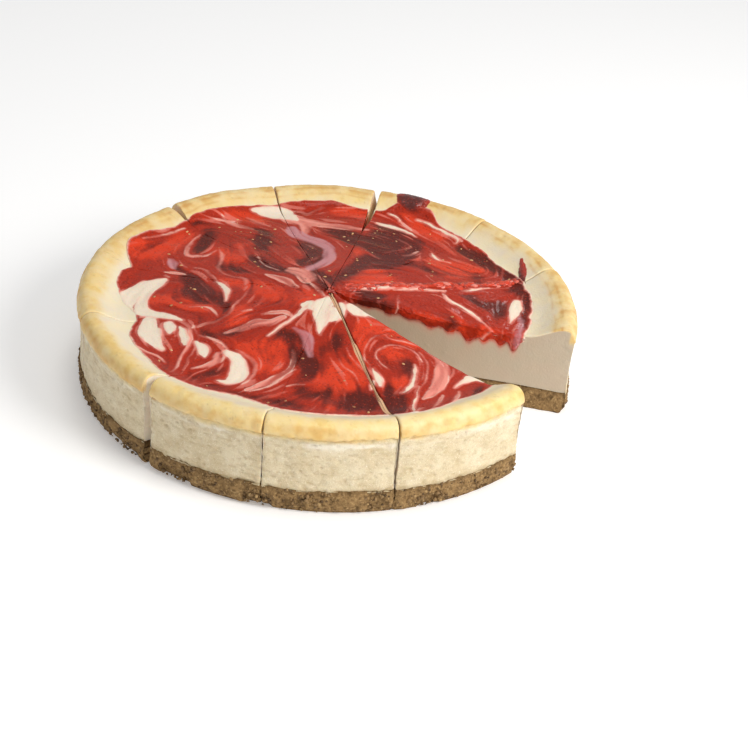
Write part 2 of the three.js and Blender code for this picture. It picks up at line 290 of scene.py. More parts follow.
BRIGHT_STROKES = (
    ((120, 725, 56), (130, 770, 56)),
    ((175, 580, 40), (172, 640, 60), (168, 700, 60), (165, 750, 40)),
    ((310, 620, 50), (350, 642, 56), (390, 640, 30)),
    ((340, 560, 26), (400, 500, 18)),
    ((420, 772, 36), (500, 762, 60), (550, 772, 66), (602, 795, 46)),
    ((560, 950, 66), (540, 900, 46)),
    ((640, 745, 36), (690, 738, 30), (650, 790, 36)),
    ((642, 415, 30), (648, 442, 30)),
    ((760, 520, 76), (785, 560, 76), (742, 600, 54)),
    ((820, 560, 30), (700, 560, 20)),
    ((862, 790, 60), (920, 778, 66), (985, 790, 40)),
    ((862, 835, 44), (900, 880, 36)),
    ((905, 920, 30), (915, 1000, 96), (905, 1060, 86), (955, 1020, 66)),
    ((650, 1040, 76), (700, 1045, 86), (742, 1090, 56)),
    ((672, 1000, 46), (720, 985, 36)),
    ((650, 128, 30), (700, 155, 46), (780, 172, 46)),
    ((940, 652, 46), (990, 640, 46), (1035, 612, 46)),
    ((1035, 985, 46), (1060, 960, 30)),
    ((975, 870, 66), (1000, 860, 46)),
    ((300, 385, 50), (250, 385, 46), (212, 420, 26)),
    ((845, 325, 50), (890, 330, 80), (935, 318, 70), (970, 295, 36)),
    ((760, 345, 20), (790, 358, 22), (822, 395, 20), (880, 406, 18), (930, 392, 14)),
    ((900, 1100, 26), (950, 1160, 30)),
    ((300, 950, 30), (350, 930, 50), (430, 930, 56)),
    ((1120, 590, 30), (1160, 600, 26)),
    ((480, 205, 50), (540, 180, 30)),
)

# Red streaks that lie over the cream: the drop inside the white round and the line round the bay
RED_STROKES = (
    ((400, 1063, 6), (425, 1095, 20), (455, 1120, 40), (480, 1135, 44), (496, 1156, 22)),
    ((262, 955, 3), (268, 990, 5), (282, 1018, 5), (300, 1046, 6), (318, 1066, 9), (337, 1088, 12),
     (354, 1122, 12), (374, 1150, 10), (402, 1177, 8)),
    ((533, 1070, 8), (565, 1079, 16), (600, 1092, 10)),
    ((362, 285, 10), (380, 290, 14), (395, 282, 8)),
    ((748, 740, 3), (752, 790, 5), (768, 850, 4)),
    ((702, 780, 3), (716, 815, 5), (738, 850, 6)),
    ((736, 750, 3), (742, 790, 5), (755, 835, 4)),
    ((806, 735, 3), (826, 752, 4), (838, 770, 3)),
    RIM_DROP,
    ((1165, 475, 5), (1168, 505, 9), (1172, 530, 9)),
)

# Fruit that has run over the lip at the back, and a drop of it on the rim
SPILL_STROKES = (
    ((648, 112, 80), (640, 84, 70), (634, 60, 84), (622, 34, 66), (618, 20, 50)),
    ((672, 96, 50), (668, 60, 50), (664, 34, 34), (660, 20, 20)),
    ((606, 74, 30), (598, 52, 30), (596, 34, 18)),
    RIM_DROP,
)


def ease(t):
    """Runs smoothly from 0 to 1 as t does, and stays at the ends beyond them."""
    t = np.clip(t, 0.0, 1.0)
    return t * t * (3.0 - 2.0 * t)


def hashed(ix, iy, iz, seed):
    """A random-looking number from 0 to 1 for each cell of a grid."""
    h = (ix * 374761393 + iy * 668265263 + iz * 1431655781 + seed * 1274126177) & 0xFFFFFFFF
    h = ((h ^ (h >> 13)) * 1103515245) & 0xFFFFFFFF
    h = ((h ^ (h >> 16)) * 1103515245) & 0xFFFFFFFF
    return ((h >> 8) & 0xFFFF) / 65535.0


def lumps(points, size, seed, octaves=1):
    """Smooth unevenness from -1 to 1 whose bumps are about size across."""
    total = np.zeros(len(points))
    gain, norm = 1.0, 0.0
    for octave in range(octaves):
        p = points / size * 2.0**octave + 17.31 * (seed + octave)
        cell = np.floor(p).astype(np.int64)
        f = p - cell
        f = f * f * f * (f * (f * 6.0 - 15.0) + 10.0)
        value = np.zeros(len(points))
        for dx in (0, 1):
            wx = f[:, 0] if dx else 1.0 - f[:, 0]
            for dy in (0, 1):
                wy = f[:, 1] if dy else 1.0 - f[:, 1]
                for dz in (0, 1):
                    wz = f[:, 2] if dz else 1.0 - f[:, 2]
                    value += wx * wy * wz * hashed(cell[:, 0] + dx, cell[:, 1] + dy, cell[:, 2] + dz, seed)
        total += gain * (2.0 * value - 1.0)
        norm += gain
        gain *= 0.5
    return total / norm


def pits(points, cell, seed, share):
    """Depth from 0 to 1 of round pits scattered in cells of this size. share of the cells hold one."""
    p = points / cell
    home = np.floor(p).astype(np.int64)
    depth = np.zeros(len(points))
    for dx in (-1, 0, 1):
        for dy in (-1, 0, 1):
            for dz in (-1, 0, 1):
                at = home + np.array((dx, dy, dz))
                spot = [hashed(at[:, 0], at[:, 1], at[:, 2], seed + k) for k in range(5)]
                centre = at + np.stack(spot[:3], axis=1)
                radius = 0.22 + 0.33 * spot[3]
                near = 1.0 - np.linalg.norm(p - centre, axis=1) / radius
                depth = np.maximum(depth, np.where(spot[4] < share, ease(near), 0.0))
    return depth


def smooth_line(points, steps=6):
    """A curve through the points, with the width running along it."""
    p = np.array(points, dtype=float)
    p = np.vstack((2.0 * p[0] - p[1], p, 2.0 * p[-1] - p[-2]))
    rows = []
    for a, b, c, d in zip(p[:-3], p[1:-2], p[2:-1], p[3:]):
        for t in np.arange(steps) / steps:
            rows.append(0.5 * (2 * b + (c - a) * t + (2 * a - 5 * b + 4 * c - d) * t**2
                               + (3 * b - a - 3 * c + d) * t**3))
    rows.append(p[-2])
    return np.array(rows)


def from_plan(stroke):
    """The stroke's points in millimetres from the cake's axis, with their widths."""
    return [((x - PLAN_MIDDLE) * PLAN_UNIT, (PLAN_MIDDLE - y) * PLAN_UNIT, w * PLAN_UNIT)
            for x, y, w in stroke]


def stroke_depth(x, y, strokes, reach=7.0):
    """How far each place lies inside the nearest stroke, in millimetres. Outside is negative."""
    depth = np.full(len(x), -reach)
    for stroke in strokes:
        line = smooth_line(from_plan(stroke))
        low = line[:, :2].min(axis=0) - reach - line[:, 2].max()
        high = line[:, :2].max(axis=0) + reach + line[:, 2].max()
        near = np.flatnonzero((x > low[0]) & (x < high[0]) & (y > low[1]) & (y < high[1]))
        if not len(near):
            continue
        px, py, best = x[near], y[near], depth[near]
        for (ax, ay, aw), (bx, by, bw) in zip(line[:-1], line[1:]):
            run = max((bx - ax) ** 2 + (by - ay) ** 2, 1e-9)
            t = np.clip(((px - ax) * (bx - ax) + (py - ay) * (by - ay)) / run, 0.0, 1.0)
            away = np.hypot(px - ax - t * (bx - ax), py - ay - t * (by - ay))
            best = np.maximum(best, 0.5 * (aw + t * (bw - aw)) - away)
        depth[near] = best
    return depth


def swirl_edge(bearing):
    """How far out the swirl runs."""
    edge = np.full(np.shape(bearing), SWIRL_RADIUS)
    for middle, reach, spread in BULGES:
        apart = bearing - math.radians(middle)
        turn = np.arctan2(np.sin(apart), np.cos(apart))
        edge = edge + reach * np.exp(-((turn / math.radians(spread)) ** 2))
    return np.minimum(edge, SWIRL_LIMIT)


def ragged_edge(bearing):
    """The swirl's outline with its small waves."""
    ring = np.stack((np.cos(bearing) * 100, np.sin(bearing) * 100, np.zeros(np.shape(bearing))), axis=-1)
    waves = lumps(ring.reshape(-1, 3), 9.0, 3, 2).reshape(np.shape(bearing))
    return swirl_edge(bearing) + 1.3 * waves


def unevenness(r, bearing):
    """Broad dips of the baked top."""
    x, y = r * np.cos(bearing), r * np.sin(bearing)
    dips = 0.45 * np.sin(x / 17 + 0.6) * np.cos(y / 21 - 0.4)
    return dips + 0.3 * np.sin((x + 1.6 * y) / 19 + 1.9)


def top_height(r, bearing):
    """Height of the top: a low dome, a sunken ring and the raised rim."""
    dome = (1.0 + np.cos(np.pi * np.minimum(r, MOAT_RADIUS) / MOAT_RADIUS)) / 2.0
    climb = np.clip((r - MOAT_RADIUS) / (CREST_RADIUS - MOAT_RADIUS), 0.0, 1.0) ** 1.3
    inner = MOAT_HEIGHT + (CENTRE_HEIGHT - MOAT_HEIGHT) * dome
    return inner + (CREST_HEIGHT - MOAT_HEIGHT) * ease(climb) + unevenness(r, bearing)


class Slice:
    """One slice of the cake: where its faces run and how it has slid."""

    def __init__(self, index, fruit=False):
        self.index = index
        self.fruit = fruit
        self.cuts = (CUTS[index], CUTS[index + 1])
        self.bare = (index == 0, index == len(SLIDES) - 1)
        self.rise = RISES[index]
        self.middle = math.radians((CUTS[index][0] + CUTS[index + 1][0]) / 2)
        self.slide = SLIDES[index] * np.array((math.cos(self.middle), math.sin(self.middle), 0.0))
        # The fruit is sticky: it stays closed where sliding the slice out opened its cuts
        opened = SLIDES[index] * math.sin(math.radians(CUTS[index + 1][0] - CUTS[index][0]) / 2)
        self.closing = [opened if fruit and not bare else 0.0 for bare in self.bare]

    def half_cut(self, side, r, depth):
        """Half the width of one side's cut at a radius, from the top (depth 0) to the base (depth 1)."""
        fruit_width, filling_width, rim_width, opens = self.cuts[side][1:]
        inner = filling_width
        if self.fruit:
            inner = fruit_width * (1.0 + WAVER_SHARE * np.sin(r / WAVER_LENGTH))
        if self.index + side in SHUT_BELOW:
            rim_width = rim_width + (SHUT_WIDTH - rim_width) * depth
            if self.fruit and self.index + side == SHUT_BELOW[0]:
                rim_width = rim_width + FRUIT_BACKS_OFF
        opened = ease((r - opens) / (LIP_RADIUS - opens))
        return (inner + (rim_width - inner) * opened) / 2.0 - self.closing[side]

    def limits(self, r, depth=0.0):
        """Bearings of the two faces at a radius, from the top (depth 0) down to the base (depth 1)."""
        r = np.maximum(r, TIP_RADIUS)
        near = math.radians(self.cuts[0][0]) + np.arcsin(self.half_cut(0, r, depth) / r)
        far = math.radians(self.cuts[1][0]) - np.arcsin(self.half_cut(1, r, depth) / r)
        middle = (near + far) / 2.0
        pinch = ease((r - TIP_RADIUS) / TIP_PINCH)
        return middle + (near - middle) * pinch, middle + (far - middle) * pinch

    def lift(self, share):
        """How high the slice stands. The fruit stays level across its closed cuts."""
        if not self.fruit:
            return self.rise
        beside = (self.index - 1, self.index + 1)
        ends = [self.rise if bare else max(self.rise, RISES[k]) for bare, k in zip(self.bare, beside)]
        return ends[0] + (ends[1] - ends[0]) * share

    def bearing(self, r, share, depth=0.0):
        near, far = self.limits(r, depth)
        return near + (far - near) * share

    def place(self, r, bearing, z):
        return np.stack((r * np.cos(bearing), r * np.sin(bearing), z), axis=-1) + self.slide

    def columns(self, r, spacing, corner):
        """Shares across the slice at a radius, closer together at the two cut edges."""
        near, far = self.limits(np.array(float(r)))
        arc = max(float(far - near) * r, 0.02)
        rounding = min(corner / arc, 0.2)
        count = max(int(round((arc - 2 * corner) / spacing)), 3)
        inner = np.linspace(rounding, 1.0 - rounding, count + 1)
        edge = rounding * np.array((0.0, 0.12, 0.4))
        return np.concatenate((edge, inner, 1.0 - edge[::-1]))


def shut(level):
    """How far a slot has closed at a level down its face."""
    return float(ease(4.0 * level))


def corner_drop(slice_, r, share, corner):
    """How far the surface falls away next to the two cut edges, from 1 at the edge to 0."""
    near, far = slice_.limits(r)
    arc = np.maximum((far - near) * r, 0.02)
    away = np.minimum(share, 1.0 - share) * arc
    t = np.clip(1.0 - away / corner, 0.0, 1.0)
    return 1.0 - np.sqrt(1.0 - t * t)


class Shell:
    """Collects the points and faces of one closed piece, and the region that each point is in."""

    def __init__(self):
        self.points = []
        self.regions = []
        self.faces = []
        self.count = 0

    def add(self, points, region):
        points = np.asarray(points, dtype=float).reshape(-1, 3)
        ids = np.arange(self.count, self.count + len(points))
        self.points.append(points)
        self.regions.append(np.full(len(points), region))
        self.count += len(points)
        return ids

    def quads(self, grid, turned=False):
        a, b, c, d = grid[:-1, :-1], grid[1:, :-1], grid[1:, 1:], grid[:-1, 1:]
        order = (a, d, c, b) if turned else (a, b, c, d)
        self.faces.extend(np.stack([o.ravel() for o in order], axis=1).tolist())

    def stitch(self, a, ta, b, tb, turned=False):
        """Triangles between two rows whose points don't match, led by their shares."""
        i = j = 0
        while i < len(a) - 1 or j < len(b) - 1:
            if j == len(b) - 1 or (i < len(a) - 1 and ta[i + 1] <= tb[j + 1]):
                face = [a[i], b[j], a[i + 1]]
                i += 1
            else:
                face = [a[i], b[j], b[j + 1]]
                j += 1
            self.faces.append(face[::-1] if turned else face)

    def finish(self):
        faces = [[int(v) for v in face] for face in self.faces]
        return np.concatenate(self.points), np.concatenate(self.regions), faces


def normals_of(points, faces):
    """Smooth normals of the points. A triangle's last corner counts twice."""
    corners = np.array([(f[0], f[1], f[2], f[-1]) for f in faces])
    a, b, c, d = (points[corners[:, k]] for k in range(4))
    across = np.cross(c - a, d - b)
    triangle = corners[:, 2] == corners[:, 3]
    across[triangle] = np.cross(b - a, c - a)[triangle]
    total = np.zeros_like(points)
    for k in range(4):
        np.add.at(total, corners[:, k], across)
    return total / np.maximum(np.linalg.norm(total, axis=1, keepdims=True), 1e-12)


TOP, WALL, NEAR_FACE, FAR_FACE, UNDER = range(5)


def wedge(slice_, stations, top, under, wall, levels, spacing, corner, coarse):
    """A closed slice-shaped piece.

    stations are radii along the top, from the tip outwards. top and under give points for a station
    and shares, and wall gives the outer wall's points for a level and shares. Faces share their edges."""
    shell = Shell()
    rows = []
    for i, r in enumerate(stations):
        shares = slice_.columns(max(r, TIP_RADIUS), coarse(r) if coarse else spacing, corner)
        rows.append((shell.add(top(i, shares), TOP), shares))
    for (a, ta), (b, tb) in zip(rows[:-1], rows[1:]):
        if len(a) == len(b):
            shell.quads(np.stack((a, b)))
        else:
            shell.stitch(a, ta, b, tb)
    few = np.linspace(0.0, 1.0, 4)
    floor = np.stack([shell.add(under(i, few), UNDER) for i in range(len(stations))])
    shell.quads(floor, turned=True)

    # The outer wall, from the last top row down to the last row of the underside
    outer, outer_shares = rows[-1]
    previous = outer
    wall_rows = [outer]
    for level in levels[1:-1]:
        row = shell.add(wall(level, outer_shares), WALL)
        shell.quads(np.stack((previous, row)))
        wall_rows.append(row)
        previous = row
    last = shell.add(wall(levels[-1], outer_shares), WALL)
    shell.quads(np.stack((previous, last)))
    wall_rows.append(last)
    shell.stitch(last, outer_shares, floor[-1], few)

    # The two cut faces, which blend from the top edge to the bottom edge and keep the wall's profile
    points = np.concatenate(shell.points)
    for side, region, turned in ((0, NEAR_FACE, True), (-1, FAR_FACE, False)):
        upper = points[[row[0][side] for row in rows]]
        lower = points[floor[:, side]]
        brink = points[[row[side] for row in wall_rows]]
        reach = np.clip((np.array(stations) - stations[0]) / (stations[-1] - stations[0]), 0.0, 1.0)
        grid = [np.array([row[0][side] for row in rows])]
        turn = math.radians(slice_.cuts[side][0])
        across = np.array((-math.sin(turn), math.cos(turn), 0.0))
        lean = ((lower - upper) @ across)[:, None] * across * (slice_.index - side in SHUT_BELOW)
        for k, level in enumerate(levels[1:-1], start=1):
            plain = upper + (lower - upper) * level + lean * (shut(level) - level)
            bulge = (brink[k] - plain[-1]) * (reach[:, None] ** 12)
            inner = (plain + bulge)[:-1]
            grid.append(np.append(shell.add(inner, region), wall_rows[k][side]))
        foot = shell.add(lower[:-1] + (brink[-1] - lower[-1]) * (reach[:-1, None] ** 12), region)
        grid.append(np.append(foot, wall_rows[-1][side]))
        shell.quads(np.stack(grid), turned=turned)
        shell.quads(np.stack((grid[-1], floor[:, side])), turned=turned)
    return shell.finish()


def build_mesh(name, points, faces, masks, material, sharp=None):
    mesh = bpy.data.meshes.new(name)
    mesh.from_pydata(((points + AXIS) * MM).tolist(), [], faces)
    mesh.update()
    for key, values in masks.items():
        layer = mesh.attributes.new(key, "FLOAT", "POINT")
        layer.data.foreach_set("value", np.asarray(values, dtype=np.float32))
    mesh.materials.append(material)
    mesh.shade_smooth()
    if sharp:
        mesh.set_sharp_from_angle(angle=math.radians(sharp))
    obj = bpy.data.objects.new(name, mesh)
    bpy.context.scene.collection.objects.link(obj)
    return obj


def ridge_share(x, y):
    """1 on the ridge of crushed jelly along one of the cuts, and 0 away from it."""
    along = x * math.cos(RIDGE) + y * math.sin(RIDGE)
    apart = x * math.sin(RIDGE) - y * math.cos(RIDGE) + RIDGE_ASIDE
    wide = 2.5 + 0.8 * np.sin(along / 5.3) * np.sin(along / 2.9 + 1.0)
    return np.exp(-((apart / wide) ** 2)) * ease((along - 10.0) / 6.0) * ease((107.0 - along) / 3.0)


def even(field):
    """The field with a mean of 0 and a spread of 1."""
    return (field - field.mean()) / max(field.std(), 1e-9)


class SwirlPlan:
    """The marbling, worked out once on a square grid over the cake's top and read anywhere on it."""

    HALF = 128.0

    def __init__(self):
        self.step = 0.45
        count = int(2 * self.HALF / self.step) + 1
        axis = -self.HALF + self.step * np.arange(count)
        x, y = (grid.ravel() for grid in np.meshgrid(axis, axis))
        flat = np.stack((x, y, np.zeros(len(x))), axis=1)
        warp = [lumps(flat, 9.0, seed, 2) for seed in (11, 12)]
        fine = [lumps(flat, 2.4, seed) for seed in (13, 14)]
        self.shape = (count, count)
        at_x = x + 1.0 * warp[0] + 0.22 * fine[0]
        at_y = y + 1.0 * warp[1] + 0.22 * fine[1]
        kinds = {"cream": CREAM_STROKES, "pink": PINK_STROKES, "lilac": LILAC_STROKES, "red": RED_STROKES,
                 "dark": DARK_STROKES, "bright": BRIGHT_STROKES}
        depth = {key: stroke_depth(at_x, at_y, strokes) for key, strokes in kinds.items()}
        ridge = ridge_share(x, y).reshape(self.shape)
        self.find_flow()
        grain = even(lumps(flat, 1.5, 21)).reshape(self.shape)
        cords = even(lumps(flat, 3.6, 22, 2)).reshape(self.shape)
        streak = even(self.drag(grain, 9.0))
        vein = even(self.drag(cords, 16.0))
        dark = self.drag(ease((depth["dark"] + 3.6) / 7.0).reshape(self.shape), 5.0)
        bright = self.drag(ease((depth["bright"] + 3.6) / 7.0).reshape(self.shape), 5.0)
        cream = np.minimum(depth["cream"], 0.6 - depth["red"])
        veins = np.maximum(depth["pink"], depth["lilac"])
        self.masks = {
            "cream": cream.reshape(self.shape) + 0.10 * streak,
            "pink": depth["pink"].reshape(self.shape) + 0.16 * streak,
            "lilac": depth["lilac"].reshape(self.shape) + 0.16 * streak,
            "dark": np.clip(dark - 0.07 * vein - 0.04 * streak - 0.6 * ridge, 0.0, 1.0),
            "bright": np.clip(bright + 0.08 * vein + 0.04 * streak + 0.6 * ridge, 0.0, 1.0),
            "streak": streak,
            "vein": vein,
            "flow": -np.maximum(veins, np.maximum(cream, depth["red"])).reshape(self.shape),
        }

    def find_flow(self):
        """Which way the fruit was dragged: along the nearest strokes."""
        coarse = np.linspace(-self.HALF, self.HALF, 97)
        x, y = (grid.ravel() for grid in np.meshgrid(coarse, coarse))
        turn = np.zeros(len(x), dtype=complex)
        for stroke in (*CREAM_STROKES, *PINK_STROKES, *LILAC_STROKES, *RED_STROKES):
            line = smooth_line(from_plan(stroke), 4)
            run = np.diff(line[:, :2], axis=0)
            middle = (line[1:, :2] + line[:-1, :2]) / 2.0
            double = (run[:, 0] + 1j * run[:, 1]) ** 2 / np.maximum(np.hypot(run[:, 0], run[:, 1]), 1e-6)
            for (mx, my), vector in zip(middle, double):
                turn += vector / ((x - mx) ** 2 + (y - my) ** 2 + 6.0) ** 1.5
        ring = -((x + 1j * y) ** 2) / np.maximum(x * x + y * y, 1.0)
        turn += 0.0004 * ring
        self.coarse_turn = (turn / np.maximum(np.abs(turn), 1e-12)).reshape(97, 97)
        at = np.linspace(0.0, 96.0, self.shape[0])
        low = np.minimum(at.astype(int), 95)
        f = at - low
        rows = self.coarse_turn[low] * (1 - f)[:, None] + self.coarse_turn[low + 1] * f[:, None]
        both = rows[:, low] * (1 - f)[None, :] + rows[:, low + 1] * f[None, :]
        half = np.sqrt(both / np.maximum(np.abs(both), 1e-9))
        self.ux, self.uy = half.real, half.imag

    def drag(self, field, reach):
        """The field smeared along the flow over this reach, in millimetres."""
        count = max(int(reach / 0.9), 2)
        stride = reach / count / self.step
        total, weight = field.copy(), 1.0
        rows, cols = np.indices(self.shape).astype(float)
        for sign in (1.0, -1.0):
            px, py, dx, dy = cols.copy(), rows.copy(), sign * self.ux, sign * self.uy
            for k in range(count):
                px += dx * stride
                py += dy * stride
                i = np.clip(np.rint(px), 0, self.shape[1] - 1).astype(int)
                j = np.clip(np.rint(py), 0, self.shape[0] - 1).astype(int)
                share = 1.0 - (k + 1) / (count + 1.0)
                total += share * field[j, i]
                weight += share
                nx, ny = self.ux[j, i], self.uy[j, i]
                keep = np.where(nx * dx + ny * dy < 0.0, -1.0, 1.0)
                dx, dy = nx * keep, ny * keep
        return total / weight

    def read(self, points):
        x = np.clip((points[:, 0] + self.HALF) / self.step, 0.0, self.shape[1] - 1.001)
        y = np.clip((points[:, 1] + self.HALF) / self.step, 0.0, self.shape[0] - 1.001)
        i, j = x.astype(int), y.astype(int)
        fx, fy = x - i, y - j
        out = {}
        for key, grid in self.masks.items():
            low = grid[j, i] * (1 - fx) + grid[j, i + 1] * fx
            high = grid[j + 1, i] * (1 - fx) + grid[j + 1, i + 1] * fx
            out[key] = low * (1 - fy) + high * fy
        return out


PLAN = SwirlPlan()


def marbling(points):
    """The masks of the fruit swirl at these points of the cake's top."""
    return PLAN.read(points)


def swirl_relief(points, masks):
    cream = ease(masks["cream"] / 1.5 + 0.5)
    veil = ease(masks["pink"] / 1.2 + 0.5)
    height = 0.26 * lumps(points, 10.0, 31, 2) + 0.07 * masks["vein"] + 0.035 * masks["streak"]
    height += 0.16 * cream + 0.12 * veil - 0.16 * masks["dark"]
    height += ridge_share(points[:, 0], points[:, 1]) * (0.8 + 1.0 * lumps(points, 3.2, 34, 2))
    return height + 0.35 * masks["bright"] * np.maximum(lumps(points, 7.0, 33), 0.0)


# How far the fruit has run down each bare cut face, as (radius, depth, width) of each run
FACE_RUNS = (
    ((9, 1.0, 8), (20, 1.4, 7), (31, 2.2, 6), (41, 1.8, 6), (52, 3.6, 7), (62, 3.2, 6), (72, 5.8, 7),
     (80, 4.0, 5), (88, 4.2, 4.5), (95, 6.0, 4.2)),
    ((8, 1.0, 8), (18, 2.4, 7), (31, 1.6, 8), (44, 3.6, 7), (59, 2.0, 8), (72, 4.2, 6), (84, 2.4, 7),
     (96, 3.2, 5)),
)


def hang(r, side):
    """How far the fruit has run down a bare face below its own layer."""
    depth = np.full(np.shape(r), 0.5)
    for at, run, width in FACE_RUNS[side]:
        depth = depth + run * np.exp(-(((r - at) / width * 1.7) ** 2))
    row = np.stack((np.ravel(r), np.full(np.size(r), 9.0 * side), np.zeros(np.size(r))), axis=1)
    depth = depth + (1.0 * lumps(row, 7.5, 62, 2) + 0.35 * lumps(row, 2.2, 63)).reshape(np.shape(r))
    return np.maximum(depth, 0.0) * ease((104.0 - r) / 4.0)


def make_swirl(slice_, material):
    spacing = 0.62
    reach = float(swirl_edge(np.array(slice_.middle)))
    steps = np.linspace(TIP_RADIUS, reach - 3.0, int((reach - 3.0) / spacing))
    fractions = np.concatenate((steps, reach - np.array((2.3, 1.6, 1.0, 0.5, 0.18, 0.0)))) / reach
    stations = fractions * reach
    thick = SWIRL_DEPTH + 1.5 * FIT

    def radius(i, shares):
        bearing = slice_.bearing(stations[i], shares)
        edge = ragged_edge(bearing)
        return TIP_RADIUS + (edge - TIP_RADIUS) * (fractions[i] - fractions[0]) / (1 - fractions[0])

    def fall_off(r, shares):
        """The rounding at the two cut edges, wide where the face is bare."""
        wide = np.where(shares < 0.5, slice_.cuts[0][1], slice_.cuts[1][1])
        drop = (0.07 + 0.3 * np.clip(wide, 0.0, 1.0)) * corner_drop(slice_, r, shares, 0.5)
        for side in (0, 1):
            if slice_.bare[side]:
                away = np.abs(shares - side) * (slice_.limits(r)[1] - slice_.limits(r)[0]) * r
                t = np.clip(1.0 - away / 3.0, 0.0, 1.0)
                drop = drop + 1.7 * (1.0 - np.sqrt(1.0 - 0.96 * t * t)) * ease((r - 3.0) / 6.0)
        return drop

    def top(i, shares):
        r = radius(i, shares)
        bearing = slice_.bearing(r, shares)
        brink = np.clip(1.0 - (1.0 - fractions[i]) * reach / 2.0, 0.0, 1.0)
        fall = 1.0 - math.sqrt(max(1.0 - brink * brink, 0.0))
        z = top_height(r, bearing) + slice_.lift(shares) - fall_off(r, shares) - 0.5 * fall + 0.3
        return slice_.place(r, bearing, z)

    def under(i, shares):
        r = radius(i, shares) - 0.2 * (fractions[i] == 1.0)
        bearing = slice_.bearing(r, shares)
        low = np.full(np.shape(shares), thick)
        for side in (0, 1):
            if slice_.bare[side]:
                at_face = np.abs(shares - side) < 1e-6
                low = low + at_face * hang(r, side)
                bearing = bearing + at_face * (1 - 2 * side) * 1.3 / np.maximum(r, 8.0)
        return slice_.place(r, bearing, top_height(r, bearing) + slice_.lift(shares) - low)

    def wall(level, shares):
        a, b = top(len(stations) - 1, shares), under(len(stations) - 1, shares)
        return a + (b - a) * level

    levels = np.linspace(0.0, 1.0, 13) if any(slice_.bare) else (0.0, 0.25, 0.5, 0.75, 1.0)
    points, region, faces = wedge(slice_, stations, top, under, wall, levels, spacing, 0.6, None)
    r = np.hypot(points[:, 0], points[:, 1])
    bearing = np.arctan2(points[:, 1], points[:, 0])
    down = np.maximum(top_height(r, bearing) + slice_.rise - points[:, 2], 0.0)
    flat = points.copy()
    for side, here in ((0, region == NEAR_FACE), (1, region == FAR_FACE)):
        if slice_.bare[side]:
            turn = math.radians(slice_.cuts[side][0])
            inward = (1 - 2 * side) * np.array((-math.sin(turn), math.cos(turn), 0.0))
            t = np.clip((down - 1.4) / np.maximum(thick + hang(r, side) - 1.4, 0.5), 0.0, 1.0)
            tuck = 1.0 - np.sqrt(1.0 - np.clip(t * 4 - 3, 0, 1) ** 2)
            bulge = 1.3 * t * np.minimum(r / 8.0, 1.0) - 0.95 * tuck
            points[here] -= (bulge[:, None] * inward)[here]
            flat[here] += (0.45 * down[:, None] * inward)[here]
    masks = marbling(flat)
    normal = normals_of(points, faces)
    shown = np.where(region == TOP, 1.0, 0.9 if any(slice_.bare) else 0.25) * (region != UNDER)
    gap = ragged_edge(bearing) - r
    calm = ease(gap / 2.5)
    height = swirl_relief(points, masks) * shown * (0.25 + 0.75 * calm)
    for side in (0, 1):
        if slice_.bare[side]:
            turn = bearing - math.radians(slice_.cuts[side][0])
            close = np.exp(-np.maximum(np.abs(turn) * r - 1.0, 0.0) / 2.5) * (region != UNDER) * ease(r / 8.0)
            height = height + close * (0.5 * lumps(points, 4.2, 36, 2) + 0.22 * lumps(points, 1.7, 37))
    points = points + normal * height[:, None]
    masks["rim"] = gap + 0.5 * lumps(points, 2.0, 35, 2)
    return build_mesh(f"swirl_{slice_.index + 1:02d}", points, faces, masks, material, sharp=75)


# The lip's outline from its crest to its foot, as (radius, height)
RIM_CURVE = (
    (119.5, 48.0), (121.4, 47.75), (123.2, 46.6), (124.5, 44.8), (125.1, 42.9), (125.1, 41.5), (124.7, 40.8),
    (123.9, 40.6),
)


def rim_curve(steps):
    """Evenly spaced points along the lip's outline."""
    line = smooth_line([(r, z, 0.0) for r, z in RIM_CURVE], 12)[:, :2]
    along = np.concatenate(((0.0,), np.cumsum(np.linalg.norm(np.diff(line, axis=0), axis=1))))
    at = np.linspace(0.0, along[-1], steps)
    return np.stack((np.interp(at, along, line[:, 0]), np.interp(at, along, line[:, 1])), axis=1)


def unrolled(points):
    """Places on the outer wall laid flat: along the wall, up it, and in from it."""
    bearing = np.mod(np.arctan2(points[:, 1], points[:, 0]), math.tau)
    return np.stack((bearing * WALL_RADIUS, points[:, 2], np.hypot(points[:, 0], points[:, 1])), axis=1)


